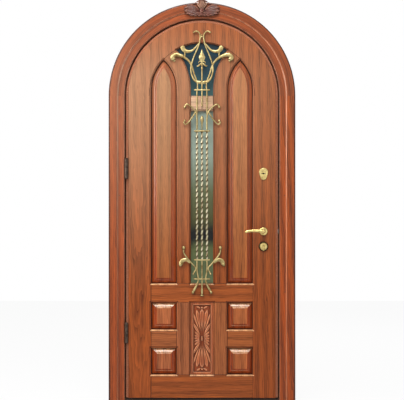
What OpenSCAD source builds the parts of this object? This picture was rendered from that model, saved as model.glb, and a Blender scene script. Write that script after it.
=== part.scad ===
// Arched entrance door: a steel leaf clad in oak, hung in a steel frame with an oak architrave.
// Seen from outside, +X is to the right, +Y goes into the house and +Z is up.
// The origin is the middle of the threshold's underside.

/* [Steel leaf] */
// Half the width of the steel leaf
leaf_half = 444; // [420:1:470]
// Thickness of the steel leaf, skin to back sheet
leaf_depth = 60; // [54:1:70]
// Thickness of the folded sheet
sheet_t = 2; // [1.5:0.1:3]
// Height of the springing line, where the arch begins
spring_z = 1791; // [1750:1:1830]
// Width of a stiffening rib
rib_w = 30; // [20:1:36]
// Distance of a rib from the middle of the leaf
rib_x = 205; // [200:1:225]
// Clearance of the insulation all round
fill_gap = 0.5; // [0.3:0.1:2]

/* [Frame] */
// Running gap between leaf and frame
leaf_gap = 7; // [6:0.5:10]
// Width of the jamb across its face
jamb_w = 60; // [50:1:80]
// Depth of the frame through the wall
frame_depth = 110; // [90:1:160]
// How far the stop stands into the doorway
stop_w = 18; // [16:1:24]
// Space for the seal between leaf and stop
seal_gap = 4; // [3:0.5:6]
// Width of the rubber seal
seal_w = 8; // [5:0.5:9]
// Height of the threshold under the leaf
sill_h = 20; // [15:1:30]
// Height of the stop on the threshold, above its top
sill_stop = 18; // [14:1:24]

/* [Architrave] */
// Width of the inner, lower band
inner_band_w = 40; // [30:1:50]
// Width of the outer, higher band
outer_band_w = 51; // [40:1:70]
// Thickness of the inner band
inner_band_t = 20; // [16:1:21]
// Thickness of the outer band
outer_band_t = 30; // [26:1:40]
// Rounding of the architrave's edges
band_round = 6; // [3:0.5:8]

/* [Oak cladding] */
// Thickness of the oak members
clad_t = 22; // [20:0.5:26]
// Width of a stile
stile_w = 133; // [120:1:145]
// Width of the arched head
head_w = 121; // [110:1:130]
// Width of a mullion beside the glass
mullion_w = 83; // [70:1:95]
// Width of the glass and of the carved panel
window_w = 131; // [120:1:145]
// Height of the bottom rail
bottom_rail_h = 136; // [110:1:160]
// Height of a lower square panel
lower_square_h = 156; // [140:1:170]
// Height of a cross rail between square panels
cross_rail_h = 107; // [90:1:120]
// Height of an upper square panel
upper_square_h = 158; // [140:1:170]
// Height of the mid rail under the glass
mid_rail_h = 111; // [90:1:130]
// Height of the transom between the two panes
transom_h = 89; // [70:1:100]
// Straight height of the upper glass above the transom
flare_rise = 34; // [20:1:45]
// Radius of the upper glass's flaring sides
flare_r = 372; // [350:1:400]
// Height above the springing line where a tall panel's pointed head begins
gothic_rise = 42; // [20:1:60]
// Oak left between a tall panel's point and the ring of the arched head
point_gap = 2; // [0:0.5:12]
// Chamfer round the openings in the oak
chamfer = 8; // [4:0.5:10]
// Depth of the step round the upper glass
glass_step = 6; // [3:0.5:9]

/* [Raised panels] */
// Clearance of a panel in its opening
panel_gap = 0.5; // [0.3:0.1:1]
// Quirk between the opening and the foot of the bevel
quirk = 4; // [2:0.5:8]
// Width of the bevel
bevel_w = 28; // [15:1:32]
// Thickness of a panel at its edge
panel_edge_t = 8; // [5:0.5:10]
// Thickness of a panel at the top of its bevel
panel_bevel_t = 15; // [12:0.5:17]
// Raised field above the bevel
field_t = 2; // [1:0.5:3]
// Border of the carved panel
carved_border = 13; // [8:1:18]
// Depth of the carved panel's sunk field below its border
carved_sink = 5; // [3:0.5:7]

/* [Glass] */
// Thickness of a pane
pane_t = 4; // [3:0.5:6]
// Space between the panes
pane_space = 12; // [8:1:16]
// How far the panes reach behind the edge of the opening
pane_lap = 12; // [8:1:16]
// Width of the spacer bar
spacer_w = 7; // [5:0.5:8]

/* [Inner panel] */
// Thickness of the inner panel
inner_t = 11; // [8:0.5:14]
// Distance of the inner panel from the edge of the leaf
inner_setback = 19; // [18:0.5:26]
// Depth of the routed panels on the inside
rout_depth = 4; // [2:0.5:6]

/* [Hinges] */
// Radius of the hinge barrel
barrel_r = 11; // [9:0.5:11.5]
// Clear space round the hinge barrel
barrel_gap = 1; // [0.6:0.1:3]
// Radius of the hinge pin
pin_r = 5; // [4:0.5:6]
// Running clearance round a turning shaft
run_gap = 0.05; // [0.03:0.01:0.1]
// Height of a hinge
hinge_h = 112; // [90:1:140]
// Height of the lower hinge's middle
low_hinge_z = 406; // [300:1:500]
// Height of the upper hinge's middle
high_hinge_z = 1366; // [1200:1:1500]
// Thickness of a hinge plate
plate_t = 4; // [3:0.5:4.5]
// Width of a hinge plate
plate_w = 42; // [30:1:48]
// Distance of the hinge axis from the edge of the leaf
axis_inset = 2; // [1:0.5:3]
// Clearance between parts that pass each other
pass_gap = 0.5; // [0.3:0.1:1]

/* [Locks and furniture] */
// Distance of the lever and keyholes from the edge of the leaf
backset = 85; // [75:1:95]
// Height of the lever
lever_z = 1000; // [950:1:1050]
// Distance from the lever down to the cylinder
cylinder_drop = 88; // [85:1:92]
// Height of the upper lock's keyhole
upper_lock_z = 1337; // [1300:1:1400]
// Radius of a deadbolt
bolt_r = 8; // [7:0.5:9]
// Spacing of the deadbolts
bolt_step = 28; // [26:1:32]
// Thickness of a lock case
case_t = 24; // [22:0.5:28]
// Height of the upper lock case
upper_case_h = 114; // [104:1:124]
// Reach of the main lock case above the lever
case_top = 42; // [34:1:60]
// Reach of the main lock case below the cylinder
case_foot = 62; // [52:1:80]
// Depth of a lock case from the leaf's edge
case_depth = 110; // [105:1:125]
// Radius of a lever rose
rose_r = 25; // [22:0.5:28]
// Thickness of a lever rose
rose_t = 9; // [7:0.5:11]
// Radius of the lever's neck
neck_r = 9; // [7:0.5:11]
// Length of the lever from its axis
lever_len = 112; // [95:1:125]
// Distance of the lever from the face it stands on
lever_stand = 44; // [36:1:55]
// Radius of the cylinder escutcheon
scutcheon_r = 28; // [24:0.5:30]
// Half the width of the upper escutcheon
key_plate_r = 26; // [22:0.5:30]
// Thickness of the upper escutcheon
key_plate_t = 7; // [5:0.5:9]
// Side of the square spindle
spindle_w = 8; // [7:0.5:9]

/* [Wall lugs] */
// Reach of a lug behind the frame
lug_reach = 60; // [45:1:90]
// Thickness of a lug
lug_t = 4; // [3:0.5:6]
// Height of a lug
lug_h = 40; // [30:1:60]
// Radius of the hole for the wall anchor
lug_hole_r = 6.5; // [5:0.5:8]
// Height of the lower lugs
low_lug_z = 350; // [250:1:450]
// Height of the upper lugs
high_lug_z = 1550; // [1450:1:1650]

/* [Grille] */
// Half the thickness of a forged bar
bar_r = 5; // [4:0.5:6]
// Space between the oak face and the grille
grille_gap = 9; // [6:0.5:14]
// Distance of the outer bars from the middle
bar_x = 29; // [26:0.5:32]
// Side of the square twisted bars
twist_w = 11; // [9:0.5:13]
// Height of one full turn of a twisted bar
twist_pitch = 126; // [90:1:160]
// Height of the upper crossbar above the transom's top
crown_bar_rise = 33; // [25:1:45]
// Depth of the middle crossbar below the transom's top
mid_bar_drop = 206; // [190:1:230]
// Height of the foot crossbar above the mid rail
foot_bar_rise = 139; // [125:1:150]
// Height of a crossbar
crossbar_h = 10; // [8:0.5:12]

/* [Hidden] */
$fn = 64;
// Facets of the large arcs
arc_fn = 180;
// Planes through the wall, from outside to inside
leaf_front = -frame_depth / 2;
skin_in = leaf_front + sheet_t;
lock_y = leaf_front + leaf_depth / 2;
leaf_back = leaf_front + leaf_depth;
back_in = leaf_back - sheet_t;
stop_y = leaf_back + seal_gap;
frame_back = frame_depth / 2;
face_y = leaf_front - clad_t;
inner_y = leaf_back + inner_t;
// Hinge axis
hinge_x = -leaf_half + axis_inset;
hinge_y = face_y;
barrel_room = barrel_r + barrel_gap;
// Radii of the arch, which are half-widths below the springing line
clad_half = leaf_half - axis_inset - barrel_room;
head_in = clad_half - head_w;
inner_half = leaf_half - inner_setback;
jamb_in = leaf_half + leaf_gap;
stop_in = jamb_in - stop_w;
jamb_out = jamb_in + jamb_w;
band_in = barrel_room - hinge_x;
band_mid = band_in + inner_band_w;
band_out = band_mid + outer_band_w;
// Columns of the cladding
joint_x = clad_half - stile_w;
window_half = window_w / 2;
mullion_out = window_half + mullion_w;
column_x = (joint_x + mullion_out) / 2;
column_half = (joint_x - mullion_out) / 2;
// Heights of the cladding
leaf_z0 = sill_h + leaf_gap;
rail_z1 = leaf_z0 + bottom_rail_h;
square_z1 = rail_z1 + lower_square_h;
square_z2 = square_z1 + cross_rail_h;
mid_z0 = square_z2 + upper_square_h;
mid_z1 = mid_z0 + mid_rail_h;
transom_z1 = spring_z;
window_z1 = transom_z1 - transom_h;
flare_z = transom_z1 + flare_rise;
gothic_z = spring_z + gothic_rise;
gothic_h = spring_z + sqrt(head_in * head_in - column_x * column_x) - point_gap - gothic_z;
gothic_r = (column_half * column_half + gothic_h * gothic_h) / (2 * column_half);
// Locks
lever_x = leaf_half - backset;
cylinder_z = lever_z - cylinder_drop;
main_bolts = [for (i = [-1:1]) cylinder_z + i * bolt_step];
upper_bolts = [for (i = [-1:1]) upper_lock_z + i * bolt_step];
main_case = [cylinder_z - case_foot, lever_z + case_top];
upper_case = [upper_lock_z - upper_case_h / 2, upper_lock_z + upper_case_h / 2];
case_x0 = leaf_half - case_depth;
forend_t = 3;
forend_lap = 14;
case_wall = 1.5;
latch_h = 24;
latch_w = 13;
latch_out = 12;
bolt_gap = 1;
// Grille
grille_y = face_y - grille_gap - bar_r;
foot_z = mid_z1 + foot_bar_rise;
mid_bar_z = transom_z1 - mid_bar_drop;
// Small overlap that keeps cuts clean
eps = 0.1;

// Extrudes an outline drawn in X and Z from depth y0 to depth y1
module slab(y0, y1) translate([0, y1, 0]) rotate([90, 0, 0]) linear_extrude(y1 - y0) children();

// Draws a shape and its mirror image across the middle of the door
module both_sides() {
  children();
  mirror([1, 0, 0]) children();
}

// Draws a right-hand shape on the right (side 1) or on the left (side -1)
module on_side(side) mirror([side < 0 ? 1 : 0, 0, 0]) children();

// Box between two corners
module block(a, b) translate(a) cube(b - a);

// Round bar along Y or along X
module rod_y(x, z, y0, y1, r) translate([x, y1, z]) rotate([90, 0, 0]) cylinder(r = r, h = y1 - y0);
module rod_x(y, z, x0, x1, r) translate([x0, y, z]) rotate([0, 90, 0]) cylinder(r = r, h = x1 - x0);

// Sweeps a profile of radius and depth round the arch, over the springing line
module round_arch() translate([0, 0, spring_z]) rotate([90, 0, 0]) rotate_extrude(angle = 180)
  mirror([0, 1]) children();

// Outline of an arched leaf of the given half-width, from height z0
module arch2d(half, z0) {
  translate([-half, z0]) square([2 * half, spring_z - z0]);
  translate([0, spring_z]) circle(half, $fn = arc_fn);
}

// Rectangle centred on a column, from z0 to z1, enlarged by d
module box2d(x, half, z0, z1, d) translate([x - half - d, z0 - d]) square([2 * (half + d), z1 - z0 + 2 * d]);

// Glass openings and panel openings, enlarged by d
module lower_window2d(d) box2d(0, window_half, mid_z1, window_z1, d);
module upper_window2d(d) intersection() {
  translate([0, spring_z]) circle(head_in + d, $fn = arc_fn);
  difference() {
    translate([-head_in, transom_z1 - d]) square([2 * head_in, head_in + spring_z - transom_z1 + 2 * d]);
    both_sides() {
      translate([window_half + flare_r, flare_z]) circle(flare_r - d, $fn = arc_fn);
      translate([window_half + d, transom_z1 - 2 * d]) square([head_in, flare_rise + 2 * d]);
    }
  }
}
module tall_opening2d(d) translate([column_x, 0]) {
  box2d(0, column_half, mid_z1, gothic_z - d, d);
  intersection() {
    translate([gothic_r - column_half, gothic_z]) circle(gothic_r + d, $fn = arc_fn);
    translate([column_half - gothic_r, gothic_z]) circle(gothic_r + d, $fn = arc_fn);
  }
}
module upper_square2d(d) box2d(column_x, column_half, square_z2, mid_z0, d);
module lower_square2d(d) box2d(column_x, column_half, rail_z1, square_z1, d);

// Cuts an opening through the oak with a chamfered front edge: the first child is its outline,
// the second the same outline enlarged by the chamfer
module chamfered_cut() {
  slab(face_y - eps, leaf_front + eps) children(0);
  hull() {
    slab(face_y - eps, face_y) children(1);
    slab(face_y + chamfer - eps, face_y + chamfer) children(0);
  }
}
module cut_tall() chamfered_cut() { tall_opening2d(0); tall_opening2d(chamfer); }
module cut_upper_square() chamfered_cut() { upper_square2d(0); upper_square2d(chamfer); }
module cut_lower_square() chamfered_cut() { lower_square2d(0); lower_square2d(chamfer); }
module cut_lower_window() chamfered_cut() { lower_window2d(0); lower_window2d(chamfer); }
module cut_carved() chamfered_cut() {
  box2d(0, window_half, rail_z1, mid_z0, 0);
  box2d(0, window_half, rail_z1, mid_z0, chamfer);
}
module cut_upper_window() {
  slab(face_y - eps, leaf_front + eps) upper_window2d(0);
  slab(face_y - eps, face_y + glass_step) upper_window2d(glass_step);
}

// Section of a profile cylinder, enlarged by d
plug_r = 8.5;
tail_r = 5;
tail_drop = 19.5;
module euro2d(d) {
  circle(plug_r + d);
  translate([0, -tail_drop]) circle(tail_r + d);
  translate([-tail_r - d, -tail_drop]) square([2 * (tail_r + d), tail_drop]);
}
module euro_at(y0, y1, d) slab(y0, y1) translate([lever_x, cylinder_z]) euro2d(d);

// Points on a smooth curve through p
function curve_at(p, i, t) =
  let (a = p[max(i - 1, 0)], b = p[i], c = p[i + 1], d = p[min(i + 2, len(p) - 1)])
  0.5 * (2 * b + (c - a) * t + (2 * a - 5 * b + 4 * c - d) * t * t + (3 * b - a - 3 * c + d) * t * t * t);
function curve(p, steps) = concat(
  [for (i = [0:len(p) - 2]) for (s = [0:steps - 1]) curve_at(p, i, s / steps)], [p[len(p) - 1]]);

// Value at the share t of an evenly spaced list
function spread(list, t) = lookup(t * (len(list) - 1), [for (k = [0:len(list) - 1]) [k, list[k]]]);

// Bar forged along the curve through p (X and Z). Its radii are spread along it, and square to the door
// it is flattened by the share flat, to the half-depth deep at most
module forged_bar(p, radii = [bar_r, bar_r], steps = 3, sides = 6, flat = 1, deep = bar_r) {
  path = curve(p, steps);
  n = len(path);
  points = [for (i = [0:n - 1])
    let (along = path[min(i + 1, n - 1)] - path[max(i - 1, 0)], u = along / norm(along),
         r = spread(radii, i / (n - 1)), h = min(flat * r, deep))
    for (k = [0:sides - 1]) let (a = 360 * k / sides)
      [path[i][0] - r * cos(a) * u[1], h * sin(a), path[i][1] + r * cos(a) * u[0]]];
  faces = concat(
    [[for (k = [sides - 1:-1:0]) k], [for (k = [0:sides - 1]) (n - 1) * sides + k]],
    [for (i = [0:n - 2]) for (k = [0:sides - 1])
      let (a = i * sides + k, b = i * sides + (k + 1) % sides) [a, b, b + sides, a + sides]]);
  polyhedron(points, faces);
}

// Folded steel section of the frame: radius or half-width, and depth
module frame_profile() difference() {
  polygon([[jamb_in, leaf_front], [jamb_out, leaf_front], [jamb_out, frame_back],
           [stop_in, frame_back], [stop_in, stop_y], [jamb_in, stop_y]]);
  polygon([[jamb_in + sheet_t, leaf_front + sheet_t], [jamb_out - sheet_t, leaf_front + sheet_t],
           [jamb_out - sheet_t, frame_back - sheet_t], [stop_in + sheet_t, frame_back - sheet_t],
           [stop_in + sheet_t, stop_y + sheet_t], [jamb_in + sheet_t, stop_y + sheet_t]]);
}

// Openings in the lock-side jamb or in a strike plate, with clearance d round the bolts
module bolt_holes(x0, x1, d) {
  for (z = concat(main_bolts, upper_bolts)) rod_x(lock_y, z, x0, x1, bolt_r + d);
  block([x0, lock_y - latch_w / 2 - d, lever_z - latch_h / 2 - d],
        [x1, lock_y + latch_w / 2 + d, lever_z + latch_h / 2 + d]);
}

module jamb_hinge_side() color("dimgray") mirror([1, 0, 0]) linear_extrude(spring_z) frame_profile();

module jamb_lock_side() color("dimgray") difference() {
  linear_extrude(spring_z) frame_profile();
  bolt_holes(jamb_in - eps, jamb_in + sheet_t + eps, 2 * bolt_gap);
}

module frame_head() color("dimgray") round_arch() frame_profile();

// Hollow steel threshold: a flat tread, and a stop behind the leaf
module threshold() color("dimgray") {
  difference() {
    block([-jamb_in, leaf_front, 0], [jamb_in, stop_y, sill_h]);
    block([-jamb_in - eps, leaf_front + sheet_t, sheet_t],
          [jamb_in + eps, stop_y - sheet_t, sill_h - sheet_t]);
  }
  difference() {
    block([-stop_in, stop_y, 0], [stop_in, frame_back, sill_h + sill_stop]);
    block([-stop_in - eps, stop_y + sheet_t, sheet_t],
          [stop_in + eps, frame_back - sheet_t, sill_h + sill_stop - sheet_t]);
  }
}

// Lugs on the outer sides of the jambs, drilled for the wall anchors
lug_hole_y = frame_back + lug_reach - 1.5 * lug_h / 2;
module wall_lugs() color("slategray") both_sides() for (z = [low_lug_z, high_lug_z]) difference() {
  block([jamb_out, lock_y, z - lug_h / 2], [jamb_out + lug_t, frame_back + lug_reach, z + lug_h / 2]);
  rod_x(lug_hole_y, z, jamb_out - eps, jamb_out + lug_t + eps, lug_hole_r);
}

// Quarter-round edge points: centre, radius, start and end angle
function edge_round(x, y, r, a0, a1) =
  [for (i = [0:4]) let (a = a0 + (a1 - a0) * i / 4) [x + r * cos(a), y + r * sin(a)]];

// Section of the architrave: a low inner band, a cove and a high rounded outer band
inner_face = leaf_front - inner_band_t;
outer_face = leaf_front - outer_band_t;
cove_r = outer_band_t - inner_band_t - band_round / 2;
module architrave_profile() polygon(concat(
  [[band_out, leaf_front], [band_in, leaf_front]],
  edge_round(band_in + band_round / 2, inner_face + band_round / 2, band_round / 2, 180, 270),
  edge_round(band_mid - cove_r, inner_face - cove_r, cove_r, 90, 0),
  edge_round(band_mid + band_round / 2, outer_face + band_round / 2, band_round / 2, 180, 270),
  edge_round(band_out - band_round, outer_face + band_round, band_round, 270, 360)));

module architrave_right() color("peru") linear_extrude(spring_z) architrave_profile();
module architrave_left() color("peru") mirror([1, 0, 0]) linear_extrude(spring_z) architrave_profile();
module architrave_arch() color("peru") round_arch() architrave_profile();

// Pointed leaf of length l and width w that grows upward from its base, as an outline
module leaf2d(l, w) intersection() {
  r = (l * l + w * w) / (4 * w);
  translate([r - w / 2, l / 2]) circle(r);
  translate([w / 2 - r, l / 2]) circle(r);
}

// Lobe of length l that widens from its root to a round end of width w, as an outline
module lobe2d(l, w) hull() {
  circle(w / 6);
  translate([0, l - w / 2]) circle(w / 2);
}

// Carves its outline on the plane y, standing t proud with bevelled edges: turned by angle a about x, z
// and shifted along itself by off
carve_bevel = 2;
module carved(x, z, y, t, a, off) hull() {
  slab(y - t / 2, y) translate([x, z]) rotate(-a) translate([0, off]) children();
  slab(y - t, y) translate([x, z]) rotate(-a) translate([0, off]) offset(delta = -carve_bevel) children();
}

// Keystone over the crown of the arch: a fluted palmette between two acanthus leaves of three fingers,
// with two leaves hanging from its root. Points are X and Z from the root
key_z = spring_z + band_mid;
key_base_t = 8;
key_top = 75.5;
key_knob_r = 6;
key_boss_r = 11;
key_wing = [58, -2];
key_wing_half = [42, 27];
key_flute_radii = [4, 6, 8, 9, 8.5, 4];
key_flute_step = 12;
key_flute_root = 6;
key_flute_drop = 3;
key_flute_t = 11;
key_foot_r = 26;
key_fingers = [
  [[13, 6], [42, 27], [78, 22], [101, 0]],
  [[14, 0], [44, 9], [74, 4], [95, -17]],
  [[11, -9], [34, -15], [58, -25], [82, -24]]
];
key_finger_radii = [6, 10, 9, 4];
key_drop_leaf = [[3, -4], [8, -20], [13, -33]];
key_drop_radii = [6, 7, 3];
key_flat = 0.6;
key_lift = 1.3;

// Outline of the keystone's backing
module key_base2d() translate([0, key_z]) {
  translate([0, key_foot_r / 2]) circle(key_foot_r);
  both_sides() translate(key_wing) scale([1, key_wing_half[1] / key_wing_half[0]]) circle(key_wing_half[0]);
}
module keystone() color("saddlebrown") {
  leaf_y = outer_face - key_base_t;
  knob_z = key_top - key_knob_r;
  slab(leaf_y, outer_face) key_base2d();
  slab(leaf_y, inner_face) intersection() {
    key_base2d();
    translate([0, spring_z]) circle(band_mid - cove_r - band_round / 2, $fn = arc_fn);
  }
  translate([0, leaf_y - key_lift, key_z]) {
    for (i = [-2:2]) forged_bar(
      [for (t = [0:0.25:1])
        (key_flute_root + t * (knob_z - key_flute_root - key_flute_drop * abs(i)))
          * [sin(i * key_flute_step), cos(i * key_flute_step)]],
      key_flute_radii, 2, 8, deep = key_flute_t - 2 * abs(i));
  }
  translate([0, leaf_y - key_lift, key_z]) both_sides() {
    for (finger = key_fingers) forged_bar(finger, key_finger_radii, 4, 8, key_flat, key_base_t - eps);
    forged_bar(key_drop_leaf, key_drop_radii, 4, 8, key_flat, key_base_t - eps);
  }
  translate([0, leaf_y - key_boss_r / 2, key_z - key_boss_r / 3])
    rotate([90, 0, 0]) sphere(key_boss_r, $fn = 24);
  translate([0, leaf_y - key_knob_r / 2, key_z + knob_z]) rotate([90, 0, 0]) sphere(key_knob_r, $fn = 20);
}

// Rubber seal round the stop
seal_set = 1;
seal_in = stop_in + seal_set;
module seal_profile() translate([seal_in, leaf_back + pass_gap]) square([seal_w, seal_gap - pass_gap]);
seal_z = sill_h + sill_stop - seal_set - seal_w;
module door_seal() color("black") {
  round_arch() seal_profile();
  both_sides() translate([0, 0, seal_z]) linear_extrude(spring_z - seal_z) seal_profile();
  block([-seal_in, leaf_back + pass_gap, seal_z], [seal_in, stop_y, seal_z + seal_w]);
}

strike_lap = 20;
module strike_plates() color("silver") difference() {
  for (z = [main_case, upper_case])
    block([jamb_in - sheet_t, lock_y - case_t / 2, z[0] - strike_lap],
          [jamb_in, lock_y + case_t / 2, z[1] + strike_lap]);
  bolt_holes(jamb_in - sheet_t - eps, jamb_in + eps, bolt_gap);
}

// Hinges: the frame halves carry the lower knuckles and the pins, the leaf halves the upper knuckles
plate_y0 = hinge_y + barrel_room;
knuckle_h = (hinge_h - pass_gap) / 2;
module at_hinges() for (z = [low_hinge_z, high_hinge_z]) translate([0, 0, z - hinge_h / 2]) children();

// One half: a plate from x0 to x1, a tongue and a drilled knuckle at height k
module hinge_half(x0, x1, k, bore) {
  block([x0, plate_y0, 0], [x1, plate_y0 + plate_w, hinge_h]);
  difference() {
    union() {
      block([x0, hinge_y, k], [x1, plate_y0 + eps, k + knuckle_h]);
      translate([hinge_x, hinge_y, k]) cylinder(r = barrel_r, h = knuckle_h);
    }
    translate([hinge_x, hinge_y, k - eps]) cylinder(r = bore, h = knuckle_h + 2 * eps);
  }
}
module hinge_frame_halves() color("darkgray") at_hinges() hinge_half(-jamb_in, -jamb_in + plate_t, 0, pin_r);
module hinge_leaf_halves() color("darkgray") at_hinges()
  hinge_half(-leaf_half, -leaf_half + plate_t, knuckle_h + pass_gap, pin_r + run_gap);

cap_h = 6;
module hinge_pins() color("silver") at_hinges() {
  translate([hinge_x, hinge_y, 0]) cylinder(r = pin_r, h = hinge_h + pass_gap);
  translate([hinge_x, hinge_y, hinge_h + pass_gap]) cylinder(r1 = barrel_r, r2 = pin_r, h = cap_h);
  translate([hinge_x, hinge_y, -cap_h]) cylinder(r1 = pin_r, r2 = barrel_r, h = cap_h);
}

// Room in the leaf's hinge edge for the plates of the leaf halves, with clearance d
module hinge_recess(d) at_hinges()
  block([-leaf_half - eps, leaf_front - eps, -d],
        [-leaf_half + plate_t + d, plate_y0 + plate_w + d, hinge_h + d]);

// Room in the leaf's lock edge for the forends
module forend_block(z, x0, x1, d) block([x0, lock_y - case_t / 2 - d, z[0] - forend_lap - d],
                                         [x1, lock_y + case_t / 2 + d, z[1] + forend_lap + d]);

// Holes for spindle, cylinder and key, from depth y0 to y1
spindle_hole = spindle_w;
key_hole = 13;
module furniture_holes(y0, y1) {
  rod_y(lever_x, lever_z, y0, y1, spindle_hole);
  rod_y(lever_x, upper_lock_z, y0, y1, key_hole);
  euro_at(y0, y1, pass_gap);
}

// Outer steel skin: a tray with returned edges, open at the back
module leaf_skin() color("dimgray") difference() {
  slab(leaf_front, back_in) arch2d(leaf_half, leaf_z0);
  slab(skin_in, back_in + eps) arch2d(leaf_half - sheet_t, leaf_z0 + sheet_t);
  slab(leaf_front - eps, skin_in + eps) lower_window2d(0);
  slab(leaf_front - eps, skin_in + eps) upper_window2d(0);
  furniture_holes(leaf_front - eps, skin_in + eps);
  hinge_recess(pass_gap);
  for (z = [main_case, upper_case]) forend_block(z, leaf_half - sheet_t - eps, leaf_half + eps, pass_gap);
}

module leaf_back_sheet() color("dimgray") difference() {
  slab(back_in, leaf_back) arch2d(leaf_half, leaf_z0);
  slab(back_in - eps, leaf_back + eps) lower_window2d(0);
  slab(back_in - eps, leaf_back + eps) upper_window2d(0);
  furniture_holes(back_in - eps, leaf_back + eps);
}

// Square tubes between skin and back sheet
rib_top = spring_z + sqrt(pow(leaf_half - sheet_t, 2) - pow(rib_x + rib_w, 2));
module leaf_ribs() color("gray") both_sides() difference() {
  block([rib_x, skin_in, leaf_z0 + sheet_t], [rib_x + rib_w, back_in, rib_top]);
  block([rib_x + sheet_t, skin_in + sheet_t, leaf_z0],
        [rib_x + rib_w - sheet_t, back_in - sheet_t, rib_top + eps]);
}

// Room taken by a lock in the insulation
pocket_gap = 4;
lining_out = pane_lap + sheet_t;
module lock_pocket(z) block([case_x0 - pocket_gap, skin_in - eps, z[0] - forend_lap - pocket_gap],
                            [leaf_half, back_in + eps, z[1] + forend_lap + pocket_gap]);

module insulation() color("khaki") difference() {
  slab(skin_in + fill_gap, back_in - fill_gap)
    arch2d(leaf_half - sheet_t - fill_gap, leaf_z0 + sheet_t + fill_gap);
  slab(skin_in, back_in) lower_window2d(lining_out + fill_gap);
  slab(skin_in, back_in) upper_window2d(lining_out + fill_gap);
  both_sides() block([rib_x - fill_gap, skin_in, leaf_z0],
                     [rib_x + rib_w + fill_gap, back_in, rib_top + fill_gap]);
  for (z = [main_case, upper_case]) lock_pocket(z);
  hinge_recess(2 * pass_gap);
}

// Sealed glass units, clamped between the skin and the linings
glass_y1 = skin_in + pane_t;
glass_y2 = glass_y1 + pane_space;
glass_y3 = glass_y2 + pane_t;
module upper_panes() color("slategray") {
  slab(skin_in, glass_y1) upper_window2d(pane_lap);
  slab(glass_y2, glass_y3) upper_window2d(pane_lap);
}
module lower_panes() color("slategray") {
  slab(skin_in, glass_y1) lower_window2d(pane_lap);
  slab(glass_y2, glass_y3) lower_window2d(pane_lap);
}
module pane_spacers() color("silver") {
  slab(glass_y1, glass_y2) difference() {
    upper_window2d(pane_lap);
    upper_window2d(pane_lap - spacer_w);
  }
  slab(glass_y1, glass_y2) difference() {
    lower_window2d(pane_lap);
    lower_window2d(pane_lap - spacer_w);
  }
}
module window_linings() color("gray") {
  slab(glass_y3, back_in) difference() {
    upper_window2d(lining_out);
    upper_window2d(0);
  }
  slab(glass_y3, back_in) difference() {
    lower_window2d(lining_out);
    lower_window2d(0);
  }
}

// Oak members of the cladding
module stile(side) color("peru") difference() {
  on_side(side) difference() {
    block([joint_x, face_y, leaf_z0], [clad_half, leaf_front, spring_z]);
    cut_tall();
    cut_upper_square();
    cut_lower_square();
  }
  if (side > 0) furniture_holes(face_y - eps, leaf_front + eps);
}
module stile_left() stile(-1);
module stile_right() stile(1);

// Arched head: the oak above the springing line, round the glass and the points of the tall panels
module arched_head() color("peru") difference() {
  slab(face_y, leaf_front) intersection() {
    translate([0, spring_z]) circle(clad_half, $fn = arc_fn);
    translate([-clad_half, spring_z]) square([2 * clad_half, clad_half]);
  }
  both_sides() cut_tall();
  cut_upper_window();
}

module mullion(side) color("peru") on_side(side) difference() {
  block([window_half, face_y, mid_z1], [mullion_out, leaf_front, spring_z]);
  cut_tall();
  cut_lower_window();
}
module mullion_left() mullion(-1);
module mullion_right() mullion(1);

module lower_mullion(side) color("peru") on_side(side) difference() {
  block([window_half, face_y, rail_z1], [mullion_out, leaf_front, mid_z0]);
  cut_upper_square();
  cut_lower_square();
  cut_carved();
}
module lower_mullion_left() lower_mullion(-1);
module lower_mullion_right() lower_mullion(1);

module transom() color("peru") difference() {
  block([-window_half, face_y, window_z1], [window_half, leaf_front, transom_z1]);
  cut_lower_window();
  cut_upper_window();
}

module mid_rail() color("peru") difference() {
  block([-joint_x, face_y, mid_z0], [joint_x, leaf_front, mid_z1]);
  both_sides() {
    cut_tall();
    cut_upper_square();
  }
  cut_lower_window();
  cut_carved();
}

module bottom_rail() color("peru") difference() {
  block([-joint_x, face_y, leaf_z0], [joint_x, leaf_front, rail_z1]);
  both_sides() cut_lower_square();
  cut_carved();
}

module cross_rail(side) color("peru") on_side(side) difference() {
  block([mullion_out, face_y, square_z1], [joint_x, leaf_front, square_z2]);
  cut_upper_square();
  cut_lower_square();
}
module cross_rail_left() cross_rail(-1);
module cross_rail_right() cross_rail(1);

// Raised panel: edge, bevel and field; the children are its outlines at edge, foot of bevel, top of bevel
module raised_panel() {
  slab(leaf_front - panel_edge_t, leaf_front) children(0);
  hull() {
    slab(leaf_front - panel_edge_t - eps, leaf_front - panel_edge_t + eps) children(1);
    slab(leaf_front - panel_bevel_t, leaf_front - panel_bevel_t + eps) children(2);
  }
  slab(leaf_front - panel_bevel_t - field_t, leaf_front - panel_bevel_t + eps) children(3);
}
field_in = quirk + bevel_w;
module tall_panel(side) color("sienna") on_side(side) raised_panel() {
  tall_opening2d(-panel_gap);
  tall_opening2d(-quirk);
  tall_opening2d(-field_in);
  tall_opening2d(-field_in - field_t);
}
module tall_panel_left() tall_panel(-1);
module tall_panel_right() tall_panel(1);

module upper_square(side) color("sienna") on_side(side) raised_panel() {
  upper_square2d(-panel_gap);
  upper_square2d(-quirk);
  upper_square2d(-field_in);
  upper_square2d(-field_in - field_t);
}
module upper_square_left() upper_square(-1);
module upper_square_right() upper_square(1);

module lower_square(side) color("sienna") on_side(side) raised_panel() {
  lower_square2d(-panel_gap);
  lower_square2d(-quirk);
  lower_square2d(-field_in);
  lower_square2d(-field_in - field_t);
}
module lower_square_left() lower_square(-1);
module lower_square_right() lower_square(1);

// Centre panel: a border round a sunk field, with two fans of three lobes, leaves between them and beads
carved_y = leaf_front - panel_bevel_t;
carved_floor = carved_y + carved_sink;
carved_z = (rail_z1 + mid_z0) / 2;
fan_l = (mid_z0 - rail_z1) / 2 - carved_border - 15;
fan_w = 30;
fan_t = 7;
fan_step = 11.5;
fan_root = 14;
fan_shorter = 8;
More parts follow.
